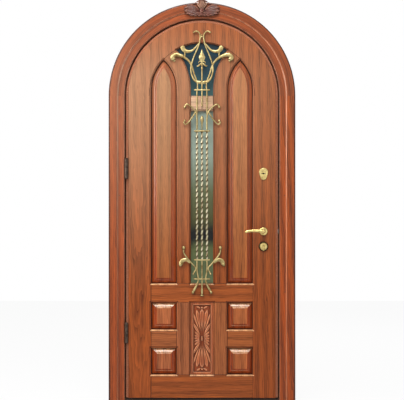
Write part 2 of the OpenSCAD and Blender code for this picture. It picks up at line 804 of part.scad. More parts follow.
// Leaves between the fans: angle from the fan's middle, length, width and relief
fan_leaves = [[27, 92, 17, 5.6], [46, 58, 15, 5], [68, 40, 13, 4.4]];
side_leaf = [36, 13, 4.8];
bead_r = 5;
module carved_panel() color("sienna") {
  difference() {
    slab(carved_y, leaf_front) box2d(0, window_half, rail_z1, mid_z0, -panel_gap);
    slab(carved_y - eps, carved_floor) box2d(0, window_half, rail_z1, mid_z0, -carved_border);
  }
  for (up = [0, 180]) {
    for (i = [-1:1])
      carved(0, carved_z, carved_floor + eps, fan_t - abs(i), up + i * fan_step, fan_root, $fn = 20)
        lobe2d(fan_l - fan_root - fan_shorter * abs(i), fan_w - 4 * abs(i));
    for (leaf = fan_leaves) for (side = [-1, 1])
      carved(0, carved_z, carved_floor + eps, leaf[3], up + side * leaf[0], fan_root, $fn = 48)
        leaf2d(leaf[1], leaf[2]);
  }
  for (side = [-1, 1])
    carved(0, carved_z, carved_floor + eps, side_leaf[2], side * 90, fan_root, $fn = 48)
      leaf2d(side_leaf[0], side_leaf[1]);
  slab(carved_floor - fan_t + 1, carved_floor + eps) translate([0, carved_z]) circle(fan_root + 4);
  for (i = [-1:1]) translate([0, carved_floor - fan_t + 1, carved_z + 2 * i * bead_r])
    rotate([90, 0, 0]) sphere(bead_r, $fn = 16);
}

// Inner panel: plain, with the outside's layout routed into it
module inner_panel() color("burlywood") difference() {
  slab(leaf_back, inner_y) arch2d(inner_half, leaf_z0 + inner_setback);
  slab(leaf_back - eps, inner_y + eps) lower_window2d(0);
  slab(leaf_back - eps, inner_y + eps) upper_window2d(0);
  both_sides() slab(inner_y - rout_depth, inner_y + eps) difference() {
    union() {
      tall_opening2d(0);
      upper_square2d(0);
      lower_square2d(0);
    }
    tall_opening2d(-quirk - chamfer);
    upper_square2d(-quirk - chamfer);
    lower_square2d(-quirk - chamfer);
  }
  furniture_holes(leaf_back - eps, inner_y + eps);
}

// Lock case: a box behind a forend that is let into the edge of the leaf
module lock_case(z) difference() {
  union() {
    block([case_x0, lock_y - case_t / 2, z[0]], [leaf_half - forend_t, lock_y + case_t / 2, z[1]]);
    forend_block(z, leaf_half - forend_t, leaf_half, 0);
  }
  block([case_x0 + case_wall, lock_y - case_t / 2 + case_wall, z[0] + case_wall],
        [leaf_half - forend_t, lock_y + case_t / 2 - case_wall, z[1] - case_wall]);
}
case_y0 = lock_y - case_t / 2 - eps;
case_y1 = lock_y + case_t / 2 + eps;
module bolt_ways(zs) for (z = zs)
  rod_x(lock_y, z, leaf_half - forend_t - eps, leaf_half + eps, bolt_r + run_gap);

module main_lock_case() color("silver") difference() {
  lock_case(main_case);
  bolt_ways(main_bolts);
  rod_y(lever_x, lever_z, case_y0, case_y1, spindle_hole);
  euro_at(case_y0, case_y1, pass_gap);
  block([leaf_half - forend_t - eps, lock_y - latch_w / 2 - pass_gap, lever_z - latch_h / 2 - pass_gap],
        [leaf_half + eps, lock_y + latch_w / 2 + pass_gap, lever_z + latch_h / 2 + pass_gap]);
}

module upper_lock_case() color("silver") difference() {
  lock_case(upper_case);
  bolt_ways(upper_bolts);
  rod_y(lever_x, upper_lock_z, case_y0, case_y1, key_hole / 2);
}

// Three round bolts on one carrier, drawn back flush with the forend
bolt_len = 58;
carrier_w = 9;
module deadbolts(zs) color("gainsboro") {
  for (z = zs) rod_x(lock_y, z, leaf_half - bolt_len, leaf_half - pass_gap, bolt_r);
  block([leaf_half - bolt_len, lock_y - bolt_r / 2, zs[0]],
        [leaf_half - bolt_len + carrier_w, lock_y + bolt_r / 2, zs[2]]);
}
module main_deadbolts() deadbolts(main_bolts);
module upper_deadbolts() deadbolts(upper_bolts);

// Spring latch, bevelled on the side that meets the strike as the leaf closes
latch_len = 46;
module latch_bolt() color("gainsboro") translate([leaf_half, lock_y, lever_z - latch_h / 2])
  linear_extrude(latch_h) polygon([
    [-latch_len, -latch_w / 2], [latch_out, -latch_w / 2], [latch_out, -latch_w / 4],
    [pass_gap, latch_w / 2], [-latch_len, latch_w / 2]]);

module lock_cylinder() color("gold") euro_at(face_y - rose_t, inner_y, 0);

// Turned plate with a stepped rim, standing on its face
module turned_plate(r, t, bore) rotate_extrude()
  polygon([[bore, 0], [r, 0], [r, t / 2], [r - t / 4, t * 0.8], [r - t / 2, t], [bore, t]]);

// Places a piece on the outer or inner face at height z, growing away from the leaf
module outside(z) translate([lever_x, face_y, z]) rotate([90, 0, 0]) children();
module inside(z) translate([lever_x, inner_y, z]) rotate([-90, 0, 0]) children();

module lever_rose() color("gold") outside(lever_z) turned_plate(rose_r, rose_t, neck_r + run_gap);

// Cylinder escutcheon: a bevelled rim, a groove and a raised boss round the profile cylinder
rim_w = 6;
edge_bevel = 2;
groove_w = 1;
scutcheon_t = rose_t + edge_bevel;
boss_r = scutcheon_r - rim_w - groove_w;
module cylinder_escutcheon() color("gold") difference() {
  outside(cylinder_z) rotate_extrude() polygon([
    [0, 0], [scutcheon_r, 0], [scutcheon_r, rose_t - edge_bevel], [scutcheon_r - edge_bevel, rose_t],
    [scutcheon_r - rim_w, rose_t], [scutcheon_r - rim_w, rose_t - groove_w], [boss_r, rose_t - groove_w],
    [boss_r - edge_bevel, scutcheon_t], [0, scutcheon_t]]);
  euro_at(face_y - scutcheon_t - eps, face_y + eps, pass_gap);
}

// Egg-shaped plate of the upper lock, with its keyhole for a double-bitted key
egg_lift = 8;
egg_drop = 27;
egg_foot_r = 18.2;
keyhole_r = 4.5;
key_slot = [24, 4.4];
module egg2d(d) translate([0, egg_lift]) hull() {
  circle(key_plate_r - d);
  translate([0, -egg_drop]) circle(egg_foot_r - d);
}
module keyhole2d() {
  circle(keyhole_r);
  square(key_slot, center = true);
}
module key_escutcheon() color("gold") outside(upper_lock_z) difference() {
  union() {
    linear_extrude(key_plate_t - edge_bevel) egg2d(0);
    linear_extrude(key_plate_t) egg2d(edge_bevel);
  }
  translate([0, 0, -eps]) linear_extrude(key_plate_t + 2 * eps) keyhole2d();
}

// Inside: lever rose, collar of the thumbturn and a plain key plate
shaft_r = 5;
module inner_escutcheons() color("gold") {
  inside(lever_z) turned_plate(rose_r, rose_t, neck_r + run_gap);
  inside(cylinder_z) turned_plate(rose_r, rose_t, shaft_r + run_gap);
  inside(upper_lock_z) difference() {
    turned_plate(rose_r, key_plate_t, 0);
    translate([0, 0, -eps]) linear_extrude(key_plate_t + 2 * eps) keyhole2d();
  }
}

// Lever on its neck: the local face is the plane y = 0 and the lever stands off towards -y
neck_gap = 1;
lever_bow = 4;
lever_flat = 0.7;
lever_radii = [0.9, 1, 0.8, 0.7, 0.8, 0.6] * neck_r;
module lever(dir) {
  rod_y(0, 0, -lever_stand, -neck_gap, neck_r);
  translate([0, -lever_stand, 0]) forged_bar(
    [[-dir * neck_r, 0], [dir * lever_len * 0.3, lever_bow], [dir * lever_len * 0.65, lever_bow],
     [dir * lever_len, -lever_bow]],
    lever_radii, steps = 5, sides = 12, flat = lever_flat, deep = neck_r);
}
module lever_outer() color("gold") translate([lever_x, face_y, lever_z]) lever(-1);
module lever_inner() color("gold") translate([lever_x, inner_y, lever_z]) rotate([0, 0, 180]) lever(1);
module spindle() color("gray") block(
  [lever_x - spindle_w / 2, face_y - neck_gap, lever_z - spindle_w / 2],
  [lever_x + spindle_w / 2, inner_y + neck_gap, lever_z + spindle_w / 2]);

// Thumbturn: a shaft in the collar, a disc and a flat grip
turn_disc_r = 13;
turn_disc_h = 6;
turn_grip = [34, 8, 14];
module thumbturn() color("gold") inside(cylinder_z) {
  translate([0, 0, pass_gap]) cylinder(r = shaft_r, h = rose_t + turn_disc_h);
  translate([0, 0, rose_t + pass_gap]) cylinder(r = turn_disc_r, h = turn_disc_h);
  translate([-turn_grip[1] / 2, -turn_grip[0] / 2, rose_t + pass_gap])
    cube([turn_grip[1], turn_grip[0], turn_grip[2] + turn_disc_h]);
}

// Forged grille: points are X from the middle and Z from the height each group hangs on.
// The crown and the scrolls hang on the transom's top, the foot on its own crossbar
lyre = [[-46, 370], [-32, 376], [-15, 364], [-10, 340], [-20, 290], [-50, 218], [-64, 162], [-58, 118],
        [-38, 86], [0, 74]];
side_scroll = [[-116, 292], [-105, 266], [-81, 257], [-54, 265], [-31, 289], [-16, 306]];
low_scroll = [[-163, 208], [-172, 224], [-155, 239], [-125, 234], [-98, 220], [-74, 199], [-57, 166],
              [-46, 128], [-30, 88]];
scroll_link = [[-100, 221], [-100, 262]];
petal = [[-3, 187], [-10, 184], [-18, 176], [-27, 172]];
mid_upper_curl = [[-100, -65], [-89, -50], [-62, -65], [-38, -95], [-bar_x, -133], [-bar_x, -mid_bar_drop]];
mid_lower_curl = [[-34, -90], [-55, -124], [-74, -150], [-94, -167], [-106, -158], [-100, -147]];
foot_scroll = [[-126, -28], [-114, -5], [-92, 0], [-68, -19]];
foot_taper = [[-107, 68], [-105, 40], [-85, 10], [-52, -28], [-36, -50], [-50, -81]];
foot_tail = [[-bar_x, 0], [-bar_x, -60], [-22, -109], [-28, -142], [-52, -187]];

// Radii along the bars: drawn out to a thin end, or jumped up to a broad one
lyre_radii = [1, 0.9, 0.9, 0.9, 1, 2] * bar_r;
scroll_radii = [2.1, 1.8, 1.4, 1.1, 0.9, 0.8] * bar_r;
curl_radii = [1.1, 1, 0.9, 0.9] * bar_r;
tail_radii = [0.9, 0.9, 1, 1.3] * bar_r;
petal_radii = [0.6, 1, 1, 0.5] * bar_r;
scroll_flat = 0.6;
stud_r = 4;
ball_r = 8;
knop_r = 6.5;

// Hammered ball at the point p
module ball(p, r = ball_r) translate([p[0], 0, p[1]]) hull() {
  translate([0, 0, r / 6]) sphere(r, $fn = 10);
  translate([0, 0, -r / 6]) sphere(r, $fn = 10);
}

// Stud from the oak face to a bar at the point p over height z
module stud(p, z) rod_y(p[0], p[1] + z, grille_y, face_y, stud_r, $fn = 12);

// Flat crossbar of half-length l at height z
module crossbar(l, z) block([-l, -bar_r, z - crossbar_h / 2], [l, bar_r, z + crossbar_h / 2]);

module upright(x, z0, z1, r = bar_r) translate([x, 0, z0]) cylinder(r = r, h = z1 - z0, $fn = 10);

crossbar_l = 42;
lyre_lean = 3;
lyre_foot = lyre[len(lyre) - 1][1];
lyre_tip_knop = [0, 342];
// Spear: heights of its socket, its widest part and its tip, and half its width
spear_z = [188, 224, 272];
spear_w = 17;
spear_t = 4;
module spear() hull() {
  upright(0, spear_z[0], spear_z[0] + 1, bar_r);
  translate([-spear_w, -spear_t / 2, spear_z[1]]) cube([2 * spear_w, spear_t, spear_t]);
  upright(0, spear_z[1], spear_z[1] + spear_t, 1.5 * bar_r);
  upright(0, spear_z[2] - 1, spear_z[2], 1);
}
module grille_crown() color("darkgoldenrod") {
  translate([0, grille_y, transom_z1]) {
    both_sides() {
      forged_bar(lyre, lyre_radii);
      forged_bar(side_scroll, scroll_radii, flat = scroll_flat);
      forged_bar(low_scroll, scroll_radii, flat = scroll_flat);
      forged_bar(petal, petal_radii, flat = scroll_flat);
      upright(scroll_link[0][0], scroll_link[0][1], scroll_link[1][1], bar_r - 1);
      ball(side_scroll[0], scroll_radii[0]);
      ball(low_scroll[0], scroll_radii[0]);
      ball(lyre[0], knop_r);
      upright(-bar_x + lyre_lean, crown_bar_rise, lyre_foot + bar_r);
    }
    spear();
    for (i = [0, 1]) ball([0, spear_z[0] - 2 * knop_r * i], knop_r);
    upright(0, crown_bar_rise, spear_z[0]);
    ball(lyre_tip_knop, bar_r + 2);
    crossbar(crossbar_l, crown_bar_rise);
  }
  both_sides() stud(low_scroll[0], transom_z1);
}

// Scrolls over the transom, from the crown's crossbar down to the middle crossbar
scroll_top = crown_bar_rise - crossbar_h / 2;
scroll_foot = -108;
knop_z = -57;
// Drop between the scrolls: heights of its top, its widest part and its tip, and its radii there
drop_z = [-117, -138, -184];
drop_radii = [4, 11, 2];
drop_rod_r = 3;
module grille_scrolls() color("darkgoldenrod") {
  translate([0, grille_y, transom_z1]) {
    both_sides() {
      upright(-bar_x, scroll_foot, scroll_top, 0.9 * bar_r);
      forged_bar(mid_upper_curl, curl_radii);
      forged_bar(mid_lower_curl, curl_radii);
      ball(mid_upper_curl[0]);
      ball(mid_lower_curl[len(mid_lower_curl) - 1], knop_r);
      ball([-crossbar_l, -mid_bar_drop], crossbar_h / 2);
    }
    upright(0, knop_z, scroll_top);
    ball([0, knop_z], bar_r + 2);
    hull() for (i = [0:2]) upright(0, drop_z[i] - 1, drop_z[i], drop_radii[i]);
    upright(0, -mid_bar_drop, drop_z[2] + drop_rod_r, drop_rod_r);
    crossbar(crossbar_l, -mid_bar_drop);
  }
  both_sides() stud([-bar_x, -transom_h / 2], transom_z1);
}

// Three square bars, twisted cold between the crossbars
twist_h = mid_bar_z - foot_z - crossbar_h;
module grille_twisted_bars() color("darkgoldenrod") for (x = [-bar_x, 0, bar_x])
  translate([x, grille_y, foot_z + crossbar_h / 2])
    linear_extrude(twist_h, twist = -360 * twist_h / twist_pitch, slices = round(8 * twist_h / twist_pitch),
                   segments = 4, $fn = 0) square(twist_w, center = true);

// Foot of the grille, fixed to the mullions and the mid rail
tail_bar_drop = 111;
tail_bar_l = crossbar_l + 2;
finial_z = -165;
finial_h = 35;
finial_r = bar_r + 2;
finial_cap_r = bar_r + 4;
module grille_foot() color("darkgoldenrod") {
  translate([0, grille_y, foot_z]) {
    crossbar(crossbar_l, 0);
    crossbar(tail_bar_l, -tail_bar_drop);
    upright(0, finial_z, 0);
    upright(0, finial_z - finial_h, finial_z, finial_r);
    ball([0, finial_z - finial_h - finial_r], finial_cap_r);
    both_sides() {
      forged_bar(foot_scroll, [1.4, 1.2, 1, 0.8] * bar_r);
      forged_bar(foot_taper, curl_radii);
      forged_bar(foot_tail, tail_radii);
      ball(foot_scroll[0]);
      ball(foot_taper[0], ball_r + 1);
      ball(foot_tail[len(foot_tail) - 1]);
      ball([-tail_bar_l, -tail_bar_drop], crossbar_h / 2 + 1);
    }
  }
  both_sides() {
    stud(foot_taper[0], foot_z);
    stud(foot_tail[len(foot_tail) - 1], foot_z);
  }
}

jamb_hinge_side();
jamb_lock_side();
frame_head();
threshold();
wall_lugs();
architrave_left();
architrave_right();
architrave_arch();
keystone();
door_seal();
strike_plates();
hinge_frame_halves();
hinge_pins();
hinge_leaf_halves();
leaf_skin();
leaf_back_sheet();
leaf_ribs();
insulation();
window_linings();
upper_panes();
lower_panes();
pane_spacers();
stile_left();
stile_right();
arched_head();
mullion_left();
mullion_right();
lower_mullion_left();
lower_mullion_right();
transom();
mid_rail();
bottom_rail();
cross_rail_left();
cross_rail_right();
tall_panel_left();
tall_panel_right();
upper_square_left();
upper_square_right();
lower_square_left();
lower_square_right();
carved_panel();
inner_panel();
grille_crown();
grille_scrolls();
grille_twisted_bars();
grille_foot();
main_lock_case();
upper_lock_case();
lock_cylinder();
lever_rose();
cylinder_escutcheon();
key_escutcheon();
inner_escutcheons();
lever_outer();
lever_inner();
spindle();
latch_bolt();
main_deadbolts();
upper_deadbolts();
thumbturn();
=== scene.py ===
"""Dresses the arched entrance door: oak joinery, forged grille, gilt furniture, glass and steel.

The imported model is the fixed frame. Sizes are metres unless a docstring says millimetres. +X is right as seen
from outside, -Y is outside and +Z is up.
"""

import logging
import math
from dataclasses import dataclass, replace
from enum import Enum, IntEnum
from typing import Callable, Iterable, Sequence

import bmesh
import bpy
from mathutils import Matrix, Vector


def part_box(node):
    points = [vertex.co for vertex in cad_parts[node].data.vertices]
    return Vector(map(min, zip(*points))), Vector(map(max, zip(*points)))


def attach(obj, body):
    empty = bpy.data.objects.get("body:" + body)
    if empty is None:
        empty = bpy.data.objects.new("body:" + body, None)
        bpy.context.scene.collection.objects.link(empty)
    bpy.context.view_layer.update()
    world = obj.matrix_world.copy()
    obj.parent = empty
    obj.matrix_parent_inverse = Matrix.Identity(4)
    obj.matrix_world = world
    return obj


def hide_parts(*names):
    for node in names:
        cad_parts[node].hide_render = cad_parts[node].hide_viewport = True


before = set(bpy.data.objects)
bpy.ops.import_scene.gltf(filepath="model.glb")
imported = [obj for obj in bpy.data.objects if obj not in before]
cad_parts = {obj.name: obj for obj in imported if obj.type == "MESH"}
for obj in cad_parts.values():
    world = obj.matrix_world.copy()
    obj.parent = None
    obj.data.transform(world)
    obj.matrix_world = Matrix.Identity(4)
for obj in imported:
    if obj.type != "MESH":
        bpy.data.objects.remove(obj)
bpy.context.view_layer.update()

LOG = logging.getLogger("arched_door")
MM = 0.001
WELD = 0.001 * MM
UP = Vector((0, 0, 1))
RELIEF_SHADING_LAYER = "wear_and_relief_shading"
Rgb = tuple[int, int, int]
Socket = bpy.types.NodeSocket


def paint(colour: Rgb) -> tuple[float, float, float, float]:
    """Turns a colour from a colour card into the linear values that a shader takes.

    Args:
        colour: Red, green and blue from 0 to 255, as a screen shows them.

    Returns:
        Linear red, green, blue and an alpha of one.
    """
    parts = [c / 255 for c in colour]
    return (*[c / 12.92 if c <= 0.04045 else ((c + 0.055) / 1.055) ** 2.4 for c in parts], 1.0)


def shade(colour: Rgb, factor: float) -> Rgb:
    """Lightens (factor above 1) or darkens a colour, for a tone of the same finish."""
    return tuple(max(0, min(255, round(c * factor))) for c in colour)


class NodeTree:
    """A node tree, with short calls that add nodes and link them."""

    def __init__(self, tree: bpy.types.NodeTree) -> None:
        """Takes over the tree of a material or a world."""
        self.nodes = tree.nodes
        self.links = tree.links

    def put(self, node: bpy.types.Node, key: str | int, value: object) -> None:
        """Links a socket into a node's input, or sets the input to a plain value.

        Args:
            node: The node that takes the value.
            key: The input's name or number.
            value: A socket to link, a number, or a colour or vector.
        """
        if isinstance(value, Socket):
            self.links.new(value, node.inputs[key])
        else:
            node.inputs[key].default_value = value

    def add(self, kind: str, inputs: dict | None = None, **settings: object) -> bpy.types.Node:
        """Adds a node.

        Args:
            kind: The node's type, without its ShaderNode prefix.
            inputs: Values or sockets for its inputs, by name or number.
            settings: Values for the node's own properties.

        Returns:
            The new node.
        """
        node = self.nodes.new("ShaderNode" + kind)
        for name, value in settings.items():
            setattr(node, name, value)
        for key, value in (inputs or {}).items():
            self.put(node, key, value)
        return node

    def axis(self, place: Socket, number: int) -> Socket:
        """Gives one of a vector's three values, counted from 0."""
        return self.add("SeparateXYZ", {0: place}).outputs[number]

    def mapped(self, place: Socket, scale: Sequence[float], turn: Sequence[float] = (0, 0, 0),
               shift: Sequence[float] = (0, 0, 0)) -> Socket:
        """Scales, turns and shifts a place."""
        return self.add("Mapping", {"Vector": place, "Scale": scale, "Rotation": turn,
                                    "Location": shift}).outputs[0]

    def noise(self, place: Socket, scale: float = 1.0, detail: float = 2.0, rough: float = 0.5,
              bend: float = 0.0) -> Socket:
        """Gives cloud noise from 0 to 1 at a place."""
        return self.add("TexNoise", {"Vector": place, "Scale": scale, "Detail": detail, "Roughness": rough,
                                     "Distortion": bend}).outputs[0]

    def ramp(self, value: Socket, *stops: tuple[float, object]) -> Socket:
        """Maps a value through colour stops.

        Args:
            value: The value from 0 to 1.
            stops: Pairs of a place and a colour, or a grey level as a number.

        Returns:
            The colour's socket.
        """
        node = self.add("ValToRGB", {0: value})
        elements = node.color_ramp.elements
        while len(elements) < len(stops):
            elements.new(0.5)
        for element, (place, colour) in zip(elements, stops):
            element.position = place
            element.color = (colour,) * 3 + (1,) if isinstance(colour, (int, float)) else paint(colour)
        return node.outputs[0]

    def mix(self, amount: Socket | float, first: object, second: object) -> Socket:
        """Mixes two colours."""
        pair = {6: paint(first) if isinstance(first, tuple) else first,
                7: paint(second) if isinstance(second, tuple) else second}
        return self.add("Mix", {0: amount, **pair}, data_type="RGBA").outputs[2]

    def sum(self, operation: str, *values: Socket | float) -> Socket:
        """Does a sum on one, two or three values."""
        return self.add("Math", dict(enumerate(values)), operation=operation).outputs[0]

    def span(self, value: Socket, low: float = 0.0, high: float = 1.0, start: float = 0.0,
             end: float = 1.0) -> Socket:
        """Maps the span from start to end onto the span from low to high."""
        return self.add("MapRange", {0: value, 1: start, 2: end, 3: low, 4: high}).outputs[0]


class Shader(NodeTree):
    """A material's node tree round one principled surface."""

    def __init__(self, name: str) -> None:
        """Starts a material under a name."""
        self.material = bpy.data.materials.new(name)
        self.material.use_nodes = True
        super().__init__(self.material.node_tree)
        self.surface = next(n for n in self.nodes if n.type == "BSDF_PRINCIPLED")

    def surface_values(self, **values: object) -> None:
        """Sets or links the surface's inputs, named with _ for a space."""
        for name, value in values.items():
            key = {"ior": "IOR", "specular": "Specular IOR Level"}.get(name, name.replace("_", " ").title())
            self.put(self.surface, key, value)

    def object_place(self) -> Socket:
        """Gives the point's place on the finished piece."""
        return self.add("TexCoord").outputs["Object"]

    def bump(self, height: Socket, strength: float, depth: float) -> None:
        """Gives the surface relief of the given depth in metres."""
        node = self.add("Bump", {"Height": height, "Strength": strength, "Distance": depth})
        self.put(self.surface, "Normal", node.outputs[0])


class Grain(Enum):
    """The way the grain of an oak piece runs."""

    UPRIGHT = "upright"
    LEVEL = "level"
    ARCHED = "arched"


@dataclass(frozen=True)
class OakFinish:
    """Stained and varnished oak, cut from one board.

    Painted light lifts its tone towards the top of the door on its hinge side, easing off at the very top.

    Attributes:
        name: The material's name.
        tone: The stain's middle tone.
        grain: The way the grain runs.
        board: A number that picks another stretch of board.
        figure: How strongly the growth rings show.
        painted_light: How strongly the painted light lifts the tone, from 0 to 1.
        joint_r: Radius about the arch's centre of a dark line, such as a glued joint, or zero.
        joint_half: Half-width of that line.
        varnish: Weight of the clear varnish over the stain.
        tilt: Lean of the growth rings to the board, in radians. More lean gives shorter arches in the grain.
        carved: Whether the mesh marks its relief, so that hollows get painted shade and crests a painted
            highlight.
        crest_highlight: How much paler the painted highlight on the crests is, where 1 is usual.
        spring_z: Height of the arch's centre.
    """

    name: str
    tone: Rgb
    grain: Grain = Grain.UPRIGHT
    board: float = 0.0
    figure: float = 1.0
    painted_light: float = 1.0
    joint_r: float = 0.0
    joint_half: float = 0.9 * MM
    varnish: float = 0.0
    tilt: float = 0.045
    carved: bool = False
    crest_highlight: float = 1.0
    spring_z: float = 1.791

    streak_waves = (62, 62, 1.3)
    fleck_waves = (170, 170, 9)
    fibre_waves = (420, 420, 6)
    pore_waves = (760, 760, 17)
    sway_waves = (7, 7, 1.1)
    sway = (0.03, 0.03, 0.0)
    board_step = (0.37, 0.11, 0.53)
    ring_scale = 30.0
    band_scale = 6.0
    ring_share = 0.42
    pith_depth = 0.07
    # Steps by which painted light lifts the tone, and by which a carving's painted highlight lifts it.
    painted_light_by = (27, 57, 68)
    crest_highlight_by = (64, 70, 62)
    redden = (1.0, 0.88, 0.8)
    pore_sink = -0.7
    joint_sink = -3.0
    # Heights and sides over which the painted light spreads, and heights over which it eases off at the top.
    light_from_z = 0.5
    light_to_z = 1.9
    light_left_x = -0.45
    light_right_x = 0.5
    light_dim_from_z = 1.92
    light_dim_to_z = 2.26
    # Reach of the painted shade that ambient occlusion gives in hollows and gaps.
    shade_reach = 6 * MM

    def material(self) -> bpy.types.Material:
        """Builds the oak material.

        Returns:
            The new material.
        """
        shader = Shader(self.name)
        place = shader.object_place()
        board = self.board_place(shader, place)
        fibre = shader.noise(shader.mapped(board, self.fibre_waves), detail=3.0, rough=0.65)
        level = self.figure_level(shader, board, fibre)
        body = shader.ramp(level, (0.0, self.deep(0.60)), (0.5, self.tone), (1.0, shade(self.tone, 1.24)))
        # Painted light: the tone is lifted towards the top of the door on its hinge side.
        lit_tone = self.paler(self.painted_light_by)
        pale = shader.ramp(level, (0.0, shade(lit_tone, 0.87)), (0.5, lit_tone), (1.0, shade(lit_tone, 1.07)))
        pores = shader.noise(shader.mapped(board, self.pore_waves), detail=1.0)
        pore_mask = shader.ramp(pores, (0.60, 0.0), (0.72, 1.0))
        colour = shader.mix(self.painted_light_share(shader, place), body, pale)
        colour = shader.mix(shader.sum("MULTIPLY", pore_mask, 0.45), colour, self.deep(0.42))
        relief = shader.sum("MULTIPLY_ADD", pore_mask, self.pore_sink, fibre)
        if self.joint_r:
            line = self.joint(shader, place)
            colour = shader.mix(line, colour, self.deep(0.25))
            relief = shader.sum("MULTIPLY_ADD", line, self.joint_sink, relief)
        # Painted shade in the carving's hollows and a painted highlight on its crests.
        if self.carved:
            wear_and_relief_shading = shader.add("Attribute", attribute_name=RELIEF_SHADING_LAYER).outputs["Fac"]
            colour = shader.mix(shader.ramp(wear_and_relief_shading, (0.05, 0.8), (0.46, 0.0)), colour, self.deep(0.36))
            colour = shader.mix(shader.ramp(wear_and_relief_shading, (0.60, 0.0), (1.0, 0.7)), colour,
                                self.paler(self.crest_highlight_by, self.crest_highlight))
        # Painted shade, also standing for stain gathered there: ambient occlusion darkens hollows and the gaps
        # between parts.
        occlusion_shade = shader.add("AmbientOcclusion", {"Distance": self.shade_reach}, samples=6).outputs["AO"]
        colour = shader.mix(shader.ramp(occlusion_shade, (0.22, 0.9), (0.72, 0.0)), colour, self.deep(0.40))
        shader.surface_values(base_color=colour, roughness=shader.span(fibre, 0.24, 0.40), specular=0.2,
                              coat_weight=self.varnish, coat_roughness=0.16)
        shader.bump(relief, 0.22, 0.4 * MM)
        return shader.material

    def figure_level(self, shader: Shader, board: Socket, fibre: Socket) -> Socket:
        """Gives how light the grain is at a place, from streaks, flecks, fibres and growth rings.

        Args:
            shader: The material's node tree.
            board: The place on the board.
            fibre: The fibres' level there.

        Returns:
            The level from 0 to 1.
        """
        streak = shader.noise(shader.mapped(board, self.streak_waves), detail=4.0, rough=0.62, bend=0.3)
        fleck = shader.noise(shader.mapped(board, self.fleck_waves), detail=3.0, rough=0.7)
        rings = self.ring_share * self.figure
        lively = self.blend(shader, (streak, 0.40), (fleck, 0.54), (fibre, 0.36),
                            (self.growth(shader, board), rings))
        return shader.span(lively, start=0.48 + 0.2 * rings, end=0.86 + 0.8 * rings)

    def deep(self, factor: float) -> Rgb:
        """Gives a darker and redder tone of the same stain."""
        return tuple(round(level * factor * share) for level, share in zip(self.tone, self.redden))

    def paler(self, steps: Rgb, times: float = 1.0) -> Rgb:
        """Gives a paler tone, raised by some steps of red, green and blue, for painted light."""
        return tuple(min(255, round(level + times * step)) for level, step in zip(self.tone, steps))

    @staticmethod
    def blend(shader: Shader, *parts: tuple[Socket, float]) -> Socket:
        """Adds up values by their weights.

        Args:
            shader: The material's node tree.
            parts: Pairs of a value and its weight.

        Returns:
            The sum's socket.
        """
        total: Socket | float = 0.0
        for value, weight in parts:
            total = shader.sum("MULTIPLY_ADD", value, weight, total)
        return total

    def growth(self, shader: Shader, board: Socket) -> Socket:
        """Gives the growth rings where the board's face cuts them.

        Args:
            shader: The material's node tree.
            board: The place on the board.

        Returns:
            The rings' level from 0 to 1.
        """
        cloud = shader.add("TexNoise", {"Vector": shader.mapped(board, self.sway_waves), "Detail": 2.0})
        off = shader.add("VectorMath", {0: cloud.outputs["Color"], 1: (0.5, 0.5, 0.5)}, operation="SUBTRACT")
        swayed = shader.add("VectorMath", {0: off.outputs[0], 1: self.sway, 2: board},
                            operation="MULTIPLY_ADD").outputs[0]
        turned = shader.mapped(swayed, (1, 1, 1), (self.tilt, self.tilt / 2, 0),
                               (0.03 * math.sin(5 * self.board), self.pith_depth, 0))
        rings, bands = (shader.add("TexWave", {"Vector": turned, "Scale": scale, "Distortion": 0.0},
                                   wave_type="RINGS", rings_direction="Z", wave_profile=wave).outputs["Fac"]
                        for scale, wave in ((self.ring_scale, "SAW"), (self.band_scale, "SIN")))
        return self.blend(shader, (rings, 0.55), (bands, 0.45))

    def painted_light_share(self, shader: Shader, place: Socket) -> Socket:
        """Gives how strongly the painted light lifts the tone at a place.

        Args:
            shader: The material's node tree.
            place: The place on the door.

        Returns:
            The share from 0 to 1.
        """
        x, z = shader.axis(place, 0), shader.axis(place, 2)
        rise = shader.add("MapRange", {0: z, 1: self.light_from_z, 2: self.light_to_z},
                          interpolation_type="SMOOTHSTEP").outputs[0]
        side = shader.span(x, 0.85 * self.painted_light, 0.25 * self.painted_light, self.light_left_x, self.light_right_x)
        crest = shader.span(z, 1.0, 0.2, self.light_dim_from_z, self.light_dim_to_z)
        return shader.sum("MULTIPLY", shader.sum("MULTIPLY", rise, crest), side)

    def joint(self, shader: Shader, place: Socket) -> Socket:
        """Gives the mask of the arched glue line."""
        radius, _ = self.arch_radius(shader, place)
        off = shader.sum("ABSOLUTE", shader.sum("SUBTRACT", radius, self.joint_r))
        return shader.span(off, 1.0, 0.0, 0.5 * self.joint_half, 2 * self.joint_half)

    def arch_radius(self, shader: Shader, place: Socket) -> tuple[Socket, Socket]:
        """Gives the distance from the arch's centre, or from its axis below, and the length round the arch.

        Args:
            shader: The material's node tree.
            place: The place on the door.

        Returns:
            The radius and the length round the arch.
        """
        x, z = shader.axis(place, 0), shader.axis(place, 2)
        rise = shader.sum("MAXIMUM", shader.sum("SUBTRACT", z, self.spring_z), 0.0)
        radius = shader.sum("SQRT", shader.sum("MULTIPLY_ADD", x, x, shader.sum("MULTIPLY", rise, rise)))
        return radius, shader.sum("MULTIPLY", shader.sum("ARCTAN2", rise, x), 0.5)

    def board_place(self, shader: Shader, place: Socket) -> Socket:
        """Gives the place on the board, with Z along the grain.

        Args:
            shader: The material's node tree.
            place: The place on the door.

        Returns:
            The place on the board.
        """
        shift = tuple(step * self.board for step in self.board_step)
        if self.grain is Grain.UPRIGHT:
            return shader.mapped(place, (1, 1, 1), shift=shift)
        if self.grain is Grain.LEVEL:
            return shader.mapped(place, (1, 1, 1), (0, math.pi / 2, 0), shift)
        radius, length = self.arch_radius(shader, place)
        bent = shader.add("CombineXYZ", {0: radius, 1: shader.axis(place, 1), 2: length}).outputs[0]
        return shader.mapped(bent, (1, 1, 1), shift=shift)


